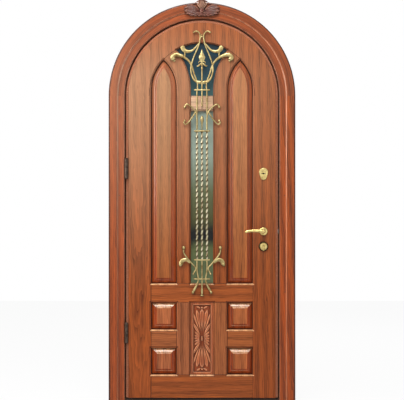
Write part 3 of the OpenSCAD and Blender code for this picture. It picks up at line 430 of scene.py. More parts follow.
@dataclass(frozen=True)
class CoatedSteel:
    """Sheet steel under a hammered powder coat: a dark ground with light flecks.

    Attributes:
        name: The material's name.
        ground: Colour of the ground.
        fleck: Colour of the flecks.
        cover: Share of the surface that stays ground, from 0 to 1.
    """

    name: str
    ground: Rgb
    fleck: Rgb
    cover: float = 0.52

    def material(self) -> bpy.types.Material:
        """Builds the coat's material.

        Returns:
            The new material.
        """
        shader = Shader(self.name)
        place = shader.object_place()
        grit = shader.noise(place, 260.0, 3.0, 0.6)
        patch = shader.noise(place, 24.0, 2.0)
        flecks = shader.ramp(grit, (self.cover, 0.0), (self.cover + 0.13, 1.0))
        tone = shader.mix(shader.span(patch, 0.0, 0.35), self.ground, shade(self.fleck, 0.55))
        shader.surface_values(base_color=shader.mix(flecks, tone, self.fleck), metallic=0.35,
                              roughness=shader.span(grit, 0.34, 0.58))
        shader.bump(grit, 0.35, 0.5 * MM)
        return shader.material


@dataclass(frozen=True)
class PolishedMetal:
    """Bare or gilt metal with a worn polish.

    Attributes:
        name: The material's name.
        tone: Colour of the polished metal.
        tarnish: Colour where the polish has dulled.
        gloss: Roughness of the polished parts.
        beaten: Depth of the hammer marks in metres, or zero.
        wear_and_relief_shading: Size of the dulled patches, as waves in a metre.
        side_shade: Darker colour of the sides, which turn away from the front: painted shade, or None.
        turned: Shares of a face's direction towards the front at which it is all flank and all front.
    """

    name: str
    tone: Rgb
    tarnish: Rgb
    gloss: float = 0.22
    beaten: float = 0.0
    wear_and_relief_shading: float = 55.0
    side_shade: Rgb | None = None
    turned: tuple[float, float] = (0.5, 0.93)

    def material(self) -> bpy.types.Material:
        """Builds the metal's material.

        Returns:
            The new material.
        """
        shader = Shader(self.name)
        place = shader.object_place()
        dull = shader.noise(place, self.wear_and_relief_shading, 4.0, 0.6)
        scratch = shader.noise(shader.mapped(place, (900, 900, 120)), detail=2.0)
        mask = shader.ramp(dull, (0.42, 0.0), (0.72, 1.0))
        polish = shader.span(scratch, self.gloss - 0.06, self.gloss + 0.08)
        rough = shader.sum("MULTIPLY_ADD", mask, 0.18, polish)
        metal = shader.mix(mask, self.tone, self.tarnish)
        # Painted shade: faces that turn away from the front get the darker side colour.
        if self.side_shade:
            front = shader.sum("ABSOLUTE", shader.axis(shader.add("TexCoord").outputs["Normal"], 1))
            flank, face = self.turned
            metal = shader.mix(shader.ramp(front, (flank, 1.0), (face, 0.0)), metal, self.side_shade)
        shader.surface_values(base_color=metal, metallic=1.0, roughness=rough)
        if self.beaten:
            dents = shader.add("TexVoronoi", {"Vector": place, "Scale": 130.0}, feature="SMOOTH_F1").outputs[0]
            shader.bump(dents, 0.6, self.beaten)
        else:
            shader.bump(scratch, 0.08, 0.2 * MM)
        return shader.material


@dataclass(frozen=True)
class SoftFill:
    """A dull soft material such as rubber or mineral wool.

    Attributes:
        name: The material's name.
        tone: Its middle colour.
        fibre: Size of its texture, as waves in a metre.
        depth: Depth of its texture in metres.
    """

    name: str
    tone: Rgb
    fibre: float
    depth: float

    def material(self) -> bpy.types.Material:
        """Builds the soft material.

        Returns:
            The new material.
        """
        shader = Shader(self.name)
        pattern = shader.noise(shader.object_place(), self.fibre, 4.0, 0.65, 0.6)
        shader.surface_values(
            base_color=shader.ramp(pattern, (0.3, shade(self.tone, 0.7)), (0.7, shade(self.tone, 1.25))),
            roughness=shader.span(pattern, 0.62, 0.92))
        shader.bump(pattern, 0.5, self.depth)
        return shader.material


@dataclass(frozen=True)
class ToughenedGlass:
    """Tinted mirror-coated glass, with a change of colour down the pane from stops of tint and of painted
    reflection.

    Attributes:
        name: The material's name.
        tints_and_reflection: Pairs of a height and the colour there, from the bottom up: the glass's tint, with
            any painted reflection.
        mottle: How much the tint wanders.
    """

    name: str
    tints_and_reflection: tuple[tuple[float, Rgb], ...]
    mottle: float = 0.25

    def material(self) -> bpy.types.Material:
        """Builds the glass.

        Returns:
            The new material.
        """
        shader = Shader(self.name)
        place = shader.object_place()
        low, high = self.tints_and_reflection[0][0], self.tints_and_reflection[-1][0]
        share = shader.span(shader.axis(place, 2), start=low, end=high)
        cloud = shader.noise(shader.mapped(place, (16, 16, 9)), detail=4.0, rough=0.6)
        wander = shader.sum("MULTIPLY_ADD", shader.sum("SUBTRACT", cloud, 0.5), self.mottle, share)
        # The stops paint the colour down the pane: the tint, with any painted reflection.
        stops = [((z - low) / (high - low), tint) for z, tint in self.tints_and_reflection]
        shader.surface_values(base_color=shader.ramp(wander, *stops), roughness=0.05, ior=1.52, specular=0.28)
        return shader.material


Finish = OakFinish | CoatedSteel | PolishedMetal | SoftFill | ToughenedGlass


class Piece:
    """A mesh in the making, which becomes one finished object at the origin.

    Attributes:
        name: The object's name.
        mesh: The mesh.
        wear_and_relief_shading: The layer that marks how far a carving stands proud, for its painted shade and
            highlights, or None.
        broad: Area from which a face is shaded flat.
        weld: Distance within which loose corners are merged.
        flat: Angle in degrees below which two faces count as one.
    """

    broad = 0.004
    weld = 0.02 * MM
    flat = 1.5

    def __init__(self, name: str) -> None:
        """Starts an empty mesh under the piece's name."""
        self.name = name
        self.mesh = bmesh.new()
        self.wear_and_relief_shading: bmesh.types.BMLayerItem | None = None

    @classmethod
    def from_node(cls, name: str, node: str) -> "Piece":
        """Starts from a copy of a solid, with its loose triangles merged into whole faces.

        Args:
            name: The new piece's name.
            node: The solid's node.

        Returns:
            The new piece.
        """
        piece = cls(name)
        piece.mesh.from_mesh(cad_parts[node].data)
        bmesh.ops.remove_doubles(piece.mesh, verts=piece.mesh.verts, dist=cls.weld)
        bmesh.ops.dissolve_limit(piece.mesh, angle_limit=math.radians(cls.flat), verts=piece.mesh.verts,
                                 edges=piece.mesh.edges)
        return piece

    def soften(self, width: float, segments: int = 2, angle: float = 28.0,
               keep: Callable[[bmesh.types.BMEdge], bool] | None = None) -> list[bmesh.types.BMFace]:
        """Takes the arris off every sharp edge.

        Args:
            width: Width of the softened edge.
            segments: Number of faces across it.
            angle: Least angle between two faces, in degrees, that counts as sharp.
            keep: Tells which edges stay sharp, or None for no such edge.

        Returns:
            The faces of the softened edges.
        """
        sharp = [e for e in self.mesh.edges if self.bent(e, angle) and not (keep and keep(e))]
        return bmesh.ops.bevel(self.mesh, geom=sharp, offset=width, offset_type="OFFSET", affect="EDGES",
                               segments=segments, profile=0.5, material=-1, clamp_overlap=True)["faces"]

    @staticmethod
    def bent(edge: bmesh.types.BMEdge, angle: float) -> bool:
        """Tells whether two faces meet at an edge by more than an angle in degrees."""
        return len(edge.link_faces) == 2 and edge.calc_face_angle(0.0) > math.radians(angle)

    def mark_relief_shading(self, verts: Iterable[bmesh.types.BMVert], rounds: int = 5, span: float = 0.55 * MM) -> None:
        """Marks how far each vertex of a carving stands proud of the surface round it, for its painted shade and
        highlights.

        Args:
            verts: The carving's vertices.
            rounds: Number of rounds of smoothing that give the surface round a vertex.
            span: Height that counts as fully raised, or depth that counts as fully sunk.
        """
        level = {v: v.co.y for v in verts}
        for _ in range(rounds):
            level = {v: sum(level.get(e.other_vert(v), own) for e in v.link_edges) / len(v.link_edges)
                     for v, own in level.items()}
        for vert, smooth in level.items():
            vert[self.wear_and_relief_shading] = 0.5 + max(-0.5, min(0.5, (smooth - vert.co.y) / span / 2))

    def finished(self, body: str, slot: str, finishes: Sequence[bpy.types.Material], nodes: Iterable[str] = (),
                 smooth: float = 35.0) -> bpy.types.Object:
        """Turns the mesh into an object that rides on a body.

        Args:
            body: The body that it moves with.
            slot: The record's material slot. It is not used.
            finishes: The materials, in the order of the faces' material numbers.
            nodes: The solids that it stands for.
            smooth: Edges flatter than this many degrees are shaded smooth. Broad faces stay flat.

        Returns:
            The finished object.
        """
        mesh = bpy.data.meshes.new(self.name)
        for face in self.mesh.faces:
            face.smooth = face.calc_area() < self.broad
        for edge in self.mesh.edges:
            edge.smooth = not self.bent(edge, smooth)
        self.mesh.to_mesh(mesh)
        self.mesh.free()
        for finish in finishes:
            mesh.materials.append(finish)
        piece = bpy.data.objects.new(self.name, mesh)
        bpy.context.scene.collection.objects.link(piece)
        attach(piece, body)
        if nodes:
            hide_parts(*nodes)
        LOG.info("%s: %d faces on %s", self.name, len(mesh.polygons), body)
        return piece


def along(points: Sequence[Vector], share: float) -> Vector:
    """Gives a point on the smooth curve through some points.

    Args:
        points: The points that the curve passes.
        share: How far along the curve, from 0 to 1.

    Returns:
        The point there.
    """
    last = len(points) - 1
    at = min(max(share, 0.0), 1.0) * last
    i = min(int(at), last - 1)
    t = at - i
    p1, p2 = points[i], points[i + 1]
    p0 = points[i - 1] if i else p1 * 2 - p2
    p3 = points[i + 2] if i + 2 <= last else p2 * 2 - p1
    return ((p1 * 2) + (p2 - p0) * t + (p0 * 2 - p1 * 5 + p2 * 4 - p3) * t ** 2
            + (p1 * 3 - p0 - p2 * 3 + p3) * t ** 3) / 2


@dataclass
class OakMember:
    """One oak member of the cladding or the architrave.

    Attributes:
        node: The solid that gives its form.
        finish: Its oak.
        body: The body that it moves with.
        arris: Width of its softened edges.
        groove: Dark oak of the softened edges, where stain has gathered in the joints.
        ledge_highlight: Pale oak of the front's upturned chamfers: a painted highlight.
        ledge_highlight_y: Depth behind which a chamfer gets no painted highlight.
        upturned: Least share of a face's direction that counts as upturned.
        level: Least share that counts as level, and so as no chamfer.
        spring_z: Height of the arch's centre, where lengths butt flush.
    """

    node: str
    finish: OakFinish
    body: str = "leaf"
    arris: float = 1.6 * MM
    groove: OakFinish | None = None
    ledge_highlight: OakFinish | None = None
    ledge_highlight_y: float = -58 * MM
    upturned: float = 0.4
    level: float = 0.95
    spring_z: float = 1.791

    def build(self) -> bpy.types.Object:
        """Softens the solid's edges and dresses it in oak.

        Returns:
            The finished object.
        """
        piece = Piece.from_node("oak_" + self.node, self.node)
        for face in piece.soften(self.arris, keep=self.butted):
            face.material_index = 1
        # Painted highlight: the front's upturned chamfers get pale oak.
        for face in piece.mesh.faces:
            if self.upturned < face.normal.z < self.level and face.calc_center_median().y < self.ledge_highlight_y:
                face.material_index = 2
        oaks = [oak.material() for oak in (self.finish, self.groove or self.finish, self.ledge_highlight or self.finish)]
        return piece.finished(self.body, "oak", oaks, [self.node])

    def butted(self, edge: bmesh.types.BMEdge) -> bool:
        """Tells whether an edge lies on the flush joint at the springing."""
        return all(abs(vert.co.z - self.spring_z) < 1 * MM for vert in edge.verts)


@dataclass
class ArchitraveLength(OakMember):
    """One length of the architrave, with a painted highlight along its inner edges and darker oak along its
    outer edge.

    Attributes:
        edge_highlight: Pale oak of the inner edges: a painted highlight.
        edge: Oak of the outer edge.
        outer_r: Distance from the middle, or from the arch's centre, beyond which an edge is an outer one.
        edge_highlight_y: Depth behind which an edge keeps the plain oak.
        square_on: Least share of a face's direction that counts as facing straight out.
    """

    edge_highlight: OakFinish | None = None
    edge: OakFinish | None = None
    outer_r: float = 0.53
    edge_highlight_y: float = -66 * MM
    square_on: float = 0.96

    def build(self) -> bpy.types.Object:
        """Softens the edges, wears them and dresses the length in oak.

        Returns:
            The finished object.
        """
        piece = Piece.from_node("oak_" + self.node, self.node)
        piece.soften(self.arris, keep=self.butted)
        # Painted highlight on the inner edges; darker oak on the outer edges.
        for face in piece.mesh.faces:
            centre = face.calc_center_median()
            outer = math.hypot(centre.x, max(0.0, centre.z - self.spring_z)) > self.outer_r
            front = face.normal.y <= -self.square_on
            end = abs(face.normal.z) >= self.square_on and not outer
            if not front and not end and centre.y < self.edge_highlight_y:
                face.material_index = 2 if outer else 1
        oaks = [oak.material() for oak in (self.finish, self.edge_highlight, self.edge)]
        return piece.finished("frame", "oak", oaks, [self.node])


class PanelSlot(IntEnum):
    """The oaks of a raised panel, in the order of its material slots."""

    FIELD = 0
    MOULDING = 1
    GROOVE_SHADE = 2
    BEVEL_HIGHLIGHT = 3


@dataclass
class RaisedPanel:
    """A raised panel with a moulding round its field, square or with a pointed head.

    Attributes:
        node: The solid that it stands for.
        field: Oak of the field.
        moulding: Darker oak of the moulding.
        groove: Near-black oak of the tongue: painted shade in the groove.
        bevel_highlight: Pale oak of the upturned bevels: a painted highlight.
        pointed: Whether its head is a pointed arch.
        upturned: Least share of a face's direction that counts as upturned.
        spring_z: Height at which a pointed head starts.
        rise: Height of the field above the steel.
        tongue: Width of the tongue in the groove.
        tongue_rise: Height of the tongue above the steel.
        bevel: Width of the steep outer bevel.
        bevel_rise: Height of the bevel's top above the steel.
        quirk: Width of the narrow groove behind the bevel.
        quirk_sink: Depth of that groove.
        quirk_wall: Share of its width that its outer wall takes.
        bead: Width of the bead from the groove up to the field.
        swelling: How full the bevel is, as a share of its rise.
        steps: Lines on the bevel and on the bead.
        arc_steps: Faces along each side of a pointed head.
    """

    node: str
    field: OakFinish
    moulding: OakFinish
    groove: OakFinish
    bevel_highlight: OakFinish
    pointed: bool = False
    upturned: float = 0.34
    spring_z: float = 1.833
    rise: float = 16.2 * MM
    tongue: float = 5 * MM
    tongue_rise: float = 2.5 * MM
    bevel: float = 18 * MM
    bevel_rise: float = 13.5 * MM
    quirk: float = 3.2 * MM
    quirk_sink: float = 2.2 * MM
    quirk_wall: float = 0.35
    bead: float = 7 * MM
    swelling: float = 0.01
    steps: int = 7
    arc_steps: int = 18

    def outline(self, inset: float, rise: float) -> list[Vector]:
        """Gives the panel's outline, drawn in from its edge and raised from its back.

        Args:
            inset: How far the outline is drawn in.
            rise: How far it is raised.

        Returns:
            The corners and arc points in order.
        """
        low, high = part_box(self.node)
        y, middle, half = high.y - rise, (low.x + high.x) / 2, (high.x - low.x) / 2 - inset
        corners = [Vector((middle + x, y, low.z + inset)) for x in (-half, half)]
        if not self.pointed:
            return corners + [Vector((middle + x, y, high.z - inset)) for x in (half, -half)]
        point = high.z - self.spring_z
        full = half + inset
        radius = (point * point + full * full) / (2 * full)
        centre = radius - full
        arc = radius - inset
        turn = math.acos(centre / arc) / self.arc_steps
        reach = [(arc * math.cos(i * turn) - centre, self.spring_z + arc * math.sin(i * turn))
                 for i in range(self.arc_steps + 1)]
        right = [Vector((middle + x, y, z)) for x, z in reach]
        left = [Vector((middle - x, y, z)) for x, z in reversed(reach[:-1])]
        return corners + right + left

    def profile(self) -> list[tuple[float, float, PanelSlot]]:
        """Lists the panel's profile from its back edge to its field.

        Returns:
            Inset, rise and material slot of each line on the panel.
        """
        shares = [i / self.steps for i in range(1, self.steps + 1)]
        climb, edge = self.bevel_rise - self.tongue_rise, self.tongue + self.bevel
        foot, start = self.bevel_rise - self.quirk_sink, edge + self.quirk
        tongue = [(0.0, 0.0), (0.0, self.tongue_rise), (self.tongue, self.tongue_rise)]
        bevel = [(self.tongue + self.bevel * t, self.tongue_rise + climb * self.swell(t)) for t in shares]
        quirk = [(edge + self.quirk_wall * self.quirk, foot), (start, foot)]
        bead = [(start + self.bead * t, foot + (self.rise - foot) * math.sin(math.pi / 2 * t)) for t in shares]
        # The tongue gets near-black oak: painted shade in the groove.
        return ([(*line, PanelSlot.GROOVE_SHADE) for line in tongue]
                + [(*line, PanelSlot.MOULDING) for line in (*bevel, *quirk, *bead)]
                + [(start + self.bead + MM, self.rise, PanelSlot.FIELD)])

    def build(self) -> bpy.types.Object:
        """Grows the panel line by line from its back edge to its field and dresses it.

        Returns:
            The finished object.
        """
        piece = Piece("oak_" + self.node)
        mesh = piece.mesh
        profile = self.profile()
        ring = [mesh.verts.new(p) for p in self.outline(*profile[0][:2])]
        edges = [mesh.edges.new(pair) for pair in zip(ring, ring[1:] + ring[:1])]
        back = edges
        for inset, rise, slot in profile[1:]:
            grown = bmesh.ops.extrude_edge_only(mesh, edges=edges)["geom"]
            fresh = {g for g in grown if isinstance(g, bmesh.types.BMVert)}
            ring = [next(e.other_vert(v) for e in v.link_edges if e.other_vert(v) in fresh) for v in ring]
            for vert, place in zip(ring, self.outline(inset, rise)):
                vert.co = place
            for face in (g for g in grown if isinstance(g, bmesh.types.BMFace)):
                face.material_index = slot
            edges = [g for g in grown if isinstance(g, bmesh.types.BMEdge) and fresh.issuperset(g.verts)]
        for rim in (back, edges):
            bmesh.ops.holes_fill(mesh, edges=rim, sides=0)
        bmesh.ops.recalc_face_normals(mesh, faces=list(mesh.faces))
        # Painted highlight: upturned bevels of the moulding get pale oak.
        for face in mesh.faces:
            if face.material_index == PanelSlot.MOULDING and face.normal.z > self.upturned:
                face.material_index = PanelSlot.BEVEL_HIGHLIGHT
        oaks = [oak.material() for oak in (self.field, self.moulding, self.groove, self.bevel_highlight)]
        return piece.finished("leaf", "oak", oaks, [self.node], smooth=24.0)

    def swell(self, share: float) -> float:
        """Gives the rise of the softly rounded bevel at a share of its width."""
        return share + self.swelling * math.sin(math.pi * share)


@dataclass(frozen=True)
class CutLeaf:
    """A leaf or lobe cut in relief in the plane of the face, in millimetres.

    Attributes:
        turn: Its direction in degrees from straight up, clockwise.
        length: Its length.
        half: Half its greatest width.
        rise: Its relief.
        swell: Above 1 it is widest towards its tip, below 1 towards its root.
        vein: Depth of the groove along its middle.
        bend: How far its tip swings clockwise.
        start: How far from its root point it starts.
        root: Place of its root point, across and up.
    """

    turn: float
    length: float
    half: float
    rise: float
    swell: float = 1.0
    vein: float = 0.0
    bend: float = 0.0
    start: float = 0.0
    root: tuple[float, float] = (0.0, 0.0)

    vein_width = 0.22
    fullness = 1.3
    taper = 0.7
    least = 1e-9

    def height(self, x: float, z: float) -> float:
        """Gives the relief at a point, in millimetres.

        Args:
            x: Place across, from the middle of the carving.
            z: Place upwards, from the same.

        Returns:
            The relief there, or zero beside the leaf.
        """
        x, z = x - self.root[0], z - self.root[1]
        sine, cosine = math.sin(math.radians(self.turn)), math.cos(math.radians(self.turn))
        share = (x * sine + z * cosine - self.start) / self.length
        if not 0.0 < share < 1.0:
            return 0.0
        body = math.sin(math.pi * share ** self.swell)
        half = self.half * body ** self.taper + self.least
        side = (x * cosine - z * sine - self.bend * share * share) / half
        if abs(side) >= 1.0:
            return 0.0
        crown = self.rise * min(1.0, self.fullness * math.sqrt(body)) * math.sqrt(1 - side * side)
        return crown - self.vein * math.exp(-(side / self.vein_width) ** 2)

    def mirrored(self) -> "CutLeaf":
        """Gives the same leaf on the other side of the middle."""
        return replace(self, turn=-self.turn, bend=-self.bend, root=(-self.root[0], self.root[1]))

    def flipped(self) -> "CutLeaf":
        """Gives the same leaf turned upside down about the middle."""
        return replace(self, turn=self.turn + 180, root=(-self.root[0], -self.root[1]))


@dataclass
class CarvedPanel:
    """The centre panel: a flat border round a sunk field with two fans of leaves.

    Attributes:
        field: Oak of the panel.
        ground: Darker oak of the sunk ground.
        border: Width of the flat border.
        sink: Depth of the ground below the border.
        slope: Width of the slope from border to ground.
        pitch: Size of a mesh face.
        thick: Thickness of the panel.
        bead: Radius of the beads in the middle.
        bead_pitch: Distance from one bead to the next.
        bead_foot: Height of the beads' foot above the ground.
        ground_from: Share of the sink from which a face counts as ground.
    """

    field: OakFinish
    ground: OakFinish
    node: str = "carved_panel"
    border: float = 13 * MM
    sink: float = 6 * MM
    slope: float = 3 * MM
    pitch: float = 1.3 * MM
    thick: float = 15 * MM
    bead: float = 4.6 * MM
    bead_pitch: float = 8.5 * MM
    bead_foot: float = 5.5 * MM
    ground_from: float = 0.75

    fan = (CutLeaf(0, 154, 15, 6.4, 2.6, 0.8, start=18), CutLeaf(10.5, 142, 11.5, 5.6, 2.2, 0.9, start=28),
           CutLeaf(19, 112, 6, 4.6, 1.7, start=44), CutLeaf(30, 84, 8, 5.8, 1.2, 1.6, start=20),
           CutLeaf(47, 44, 6.5, 5.0, 1.0, 1.4, start=15), CutLeaf(67, 36, 6, 4.8, 1.0, 1.4, start=13),
           CutLeaf(88, 32, 5, 4.4, 1.0, 1.2, start=13), CutLeaf(62, 30, 6, 4.2, 1.4, 1.0, root=(6, 174)),
           CutLeaf(8, 12, 6, 4.0, 1.0, root=(0, 174)))

    def leaves(self) -> list[CutLeaf]:
        """Lists the leaves of both fans.

        Returns:
            All leaves of the carving.
        """
        upper = [*self.fan, *(leaf.mirrored() for leaf in self.fan)]
        return [*upper, *(leaf.flipped() for leaf in upper)]

    def build(self) -> bpy.types.Object:
        """Carves a fine grid, gives it its back and dresses it.

        Returns:
            The finished object.
        """
        low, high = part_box(self.node)
        size, middle = high - low, (low + high) / 2
        piece = Piece("oak_" + self.node)
        piece.wear_and_relief_shading = piece.mesh.verts.layers.float.new(RELIEF_SHADING_LAYER)
        columns, rows = round(size.x / self.pitch), round(size.z / self.pitch)
        bmesh.ops.create_grid(piece.mesh, x_segments=columns, y_segments=rows, size=0.5)
        leaves = self.leaves()
        inner = Vector((size.x / 2 - self.border, size.z / 2 - self.border))
        front = high.y - self.thick
        for vert in piece.mesh.verts:
            x, z = vert.co.x * size.x, vert.co.y * size.z
            vert.co = Vector((middle.x + x, front + self.depth(x, z, inner, leaves), middle.z + z))
        # Marks the relief, from which the painted shade and highlights come.
        piece.mark_relief_shading(piece.mesh.verts)
        for face in piece.mesh.faces:
            face.material_index = int(face.calc_center_median().y > front + self.ground_from * self.sink)
        rim = [e for e in piece.mesh.edges if e.is_boundary]
        wall = bmesh.ops.extrude_edge_only(piece.mesh, edges=rim)["geom"]
        for vert in (g for g in wall if isinstance(g, bmesh.types.BMVert)):
            vert.co.y = high.y
        bmesh.ops.holes_fill(piece.mesh, edges=[e for e in piece.mesh.edges if e.is_boundary], sides=0)
        bmesh.ops.recalc_face_normals(piece.mesh, faces=list(piece.mesh.faces))
        return piece.finished("leaf", "oak", [self.field.material(), self.ground.material()], [self.node],
                              smooth=50.0)

    def depth(self, x: float, z: float, inner: Vector, leaves: list[CutLeaf]) -> float:
        """Gives how far a point of the carving lies behind the border.

        Args:
            x: Place across, from the middle.
            z: Place upwards, from the middle.
            inner: Half-sizes of the sunk field.
            leaves: The leaves.

        Returns:
            The depth below the border, less the relief.
        """
        inside = min(inner.x - abs(x), inner.y - abs(z))
        if inside <= 0:
            return 0.0
        ground = self.sink * min(1.0, inside / self.slope)
        relief = max(leaf.height(x / MM, z / MM) for leaf in leaves) * MM
        for k in (-1, 0, 1):
            off = math.hypot(x, z - k * self.bead_pitch) / self.bead
            if off < 1:
                relief = max(relief, self.bead_foot + self.bead / 2 * math.sqrt(1 - off * off))
        return ground - relief * min(1.0, inside / self.slope)


@dataclass(frozen=True)
class Section:
    """One cross-section of a drawn or forged bar.

    Attributes:
        centre: Its middle.
        ahead: The bar's direction there.
        across: Half its size in the plane of the door.
        deep: Half its size square to the door.
        turn: Its turn about the bar, in radians.
    """

    centre: Vector
    ahead: Vector
    across: float
    deep: float
    turn: float = 0.0


def draw_bar(piece: Piece, section: Callable[[float], Section], sides: int, steps: int) -> None:
    """Wraps a grid round a line of sections, closes its seam and caps its ends.

    Args:
        piece: The piece that takes the bar.
        section: Gives the section at a share of the length, from 0 to 1.
        sides: Number of faces round the bar.
        steps: Number of faces along it.
    """
    grid = bmesh.ops.create_grid(piece.mesh, x_segments=sides, y_segments=steps, size=0.5)["verts"]
    rings: dict[int, Section] = {}
    deep = Vector((0, 1, 0))
    for vert in grid:
        row = round((vert.co.y + 0.5) * steps)
        ring = rings.setdefault(row, section(row / steps))
        angle = 2 * math.pi * (vert.co.x + 0.5) + math.pi / sides + ring.turn
        side = deep.cross(ring.ahead).normalized()
        vert.co = ring.centre + side * (math.cos(angle) * ring.across) + deep * (math.sin(angle) * ring.deep)
    bmesh.ops.remove_doubles(piece.mesh, verts=grid, dist=WELD)
    grid = [v for v in grid if v.is_valid]
    rim = {e for v in grid for e in v.link_edges if e.is_boundary}
    bmesh.ops.holes_fill(piece.mesh, edges=list(rim), sides=0)
    faces = {f for v in grid for f in v.link_faces}
    bmesh.ops.recalc_face_normals(piece.mesh, faces=list(faces))


def nose(end: float, least: float) -> float:
    """Gives the share of its full size that a rounded end has, at a share of the rounding's length."""
    return math.sqrt(max(least, 1 - (1 - end) ** 2)) if end < 1 else 1.0


def turn_piece(piece: Piece, profile: Sequence[tuple[float, float]], place: Matrix, steps: int = 40) -> None:
    """Turns a profile about the local Z axis, as on a lathe.

    Args:
        piece: The piece that takes the turned shape.
        profile: Points of radius and height, from the axis outwards and back.
        place: Where the local frame goes.
        steps: Number of faces round it.
    """
    verts = [piece.mesh.verts.new((r, 0, h)) for r, h in profile]
    edges = [piece.mesh.edges.new(pair) for pair in zip(verts, verts[1:])]
    bmesh.ops.spin(piece.mesh, geom=verts + edges, cent=(0, 0, 0), axis=UP, angle=2 * math.pi, steps=steps,
                   use_merge=True)
    reach = {v for v in verts if v.is_valid}
    todo = list(reach)
    while todo:
        for edge in todo.pop().link_edges:
            for vert in edge.verts:
                if vert not in reach:
                    reach.add(vert)
                    todo.append(vert)
    bmesh.ops.remove_doubles(piece.mesh, verts=list(reach), dist=WELD)
    reach = {v for v in reach if v.is_valid}
    faces = {f for v in reach for f in v.link_faces}
    bmesh.ops.recalc_face_normals(piece.mesh, faces=list(faces))
    bmesh.ops.transform(piece.mesh, matrix=place, verts=list(reach))


def outward(x: float, y: float, z: float) -> Matrix:
    """Gives the frame of a fitting on the outer face: local Z points at the viewer."""
    return Matrix.Translation((x, y, z)) @ Matrix.Rotation(math.pi / 2, 4, "X")


def inward(x: float, y: float, z: float) -> Matrix:
    """Gives the frame of a fitting on the inner face: local Z points into the house."""
    return Matrix.Translation((x, y, z)) @ Matrix.Rotation(-math.pi / 2, 4, "X")


@dataclass(frozen=True)
class ForgedBar:
    """A bar bent through points, with its thickness drawn out or jumped up along the way.

    Attributes:
        points: X from the middle and Z from the group's height, in millimetres.
        radii: Half-widths in millimetres, evenly spaced along the bar.
        flat: Depth of the bar as a share of its width, at its thickest.
        steps: Faces along each stretch between two points.
        depth: Greatest half-depth in millimetres.
    """

    points: tuple[tuple[float, float], ...]
    radii: tuple[float, ...]
    flat: float = 0.8
    steps: int = 9
    depth: float = 5.0

    sides = 12
    look = 0.004
    nose_steps = 2
    least_nose = 0.05

    def build(self, piece: Piece, anchor: Vector, side: int) -> None:
        """Forges the bar on one side of the middle.

        Args:
            piece: The grille's mesh.
            anchor: The middle point that the group hangs on.
            side: 1 as drawn, -1 mirrored.
        """
        line = [anchor + Vector((side * x * MM, 0, z * MM)) for x, z in self.points]
        sizes = [Vector((r, 0, 0)) for r in self.radii]
        steps = self.steps * (len(line) - 1)

        def section(share: float) -> Section:
            """Gives the bar's section at a share of its length."""
            ahead = along(line, share + self.look) - along(line, share - self.look)
            wide = along(sizes, share).x * MM
            end = nose(min(share, 1 - share) * steps / self.nose_steps, self.least_nose)
            return Section(along(line, share), ahead.normalized(), wide * end,
                           min(wide * self.flat, self.depth * MM) * end)

        draw_bar(piece, section, self.sides, steps)


@dataclass(frozen=True)
class Knop:
    """A swelling forged on the middle line, in millimetres.

    Attributes:
        outline: Pairs of a height and a half-width there.
        faces: Number of faces round it and along it.
        thin: Half-depth at no width.
        deepen: Half-depth gained with each millimetre of half-width.
        deepest: Greatest half-depth.
        turn: Its turn about the middle line, in radians.
    """

    outline: tuple[tuple[float, float], ...]
    faces: tuple[int, int]
    thin: float = 0.0
    deepen: float = 1.0
    deepest: float = math.inf
    turn: float = 0.0

    def build(self, piece: Piece, anchor: Vector) -> None:
        """Forges the swelling.

        Args:
            piece: The grille's mesh.
            anchor: The middle point that the group hangs on.
        """
        line = [Vector((0, half, z)) for z, half in self.outline]

        def section(share: float) -> Section:
            """Gives the swelling's section at a share of its length."""
            at = along(line, share)
            deep = min(self.thin + self.deepen * at.y, self.deepest)
            return Section(anchor + UP * (at.z * MM), UP, at.y * MM, deep * MM, self.turn)

        draw_bar(piece, section, *self.faces)


@dataclass(frozen=True)
class ForgedGroup:
    """One part of the grille, in millimetres from the middle point that it hangs on.

    Whatever doesn't stand in the middle is given on the hinge side and made on both sides.

    Attributes:
        bars: Bent bars.
        posts: X, lower end, upper end and half-width of round uprights.
        balls: X, Z, radius and share of the height of hammered balls.
        crossbars: Z and half-length of square crossbars.
        studs: X and Z of the fixings to the oak.
        knops: Swellings on the middle line.
    """

    bars: tuple[ForgedBar, ...]
    posts: tuple[tuple[float, float, float, float], ...]
    balls: tuple[tuple[float, float, float, float], ...]
    crossbars: tuple[tuple[float, float], ...]
    studs: tuple[tuple[float, float], ...]
    knops: tuple[Knop, ...]


CROWN = ForgedGroup(
    bars=(ForgedBar(((-46, 370), (-32, 376), (-15, 364), (-10, 340), (-20, 290), (-50, 218), (-64, 162),
                     (-58, 118), (-38, 86), (0, 74)), (5.0, 4.2, 4.4, 4.4, 5.2, 11.0)),
          ForgedBar(((-116, 292), (-105, 266), (-81, 257), (-54, 265), (-31, 289), (-16, 306)),
                    (12.5, 12.0, 9.5, 6.5, 4.6, 3.8), 0.55),
          ForgedBar(((-163, 208), (-172, 224), (-155, 239), (-125, 234), (-98, 220), (-74, 199), (-57, 166),
                     (-46, 128), (-30, 88)), (12.5, 12.0, 10.5, 7.5, 5.4, 4.4, 4.2), 0.55),
          ForgedBar(((-3, 187), (-10, 184), (-18, 176), (-26, 172), (-30, 177)), (3.4, 5.0, 5.6, 3.6, 2.0), 0.6),
          ForgedBar(((-4, 196), (-11, 200), (-18, 196), (-19, 188)), (3.0, 3.6, 3.2, 2.2), 0.7)),
    posts=((-100, 221, 262, 4.0), (-26, 33, 84, 4.4), (0, 33, 193, 4.2)),
    balls=((-100, 240, 6.0, 0.9), (-47, 369, 5.6, 1.0), (0, 176, 6.5, 1.2), (0, 160, 5.8, 1.5),
           (0, 190, 6.0, 0.8), (0, 342, 6.4, 0.9), (0, 352, 4.2, 1.3)),
    crossbars=((33, 42),),
    studs=((-162, 206),),
    knops=(Knop(((187, 3.0), (200, 9.5), (220, 18), (230, 16), (248, 8), (264, 3), (277, 0.5)), (4, 24),
                thin=1.4, deepen=0.3, turn=math.pi / 4),))
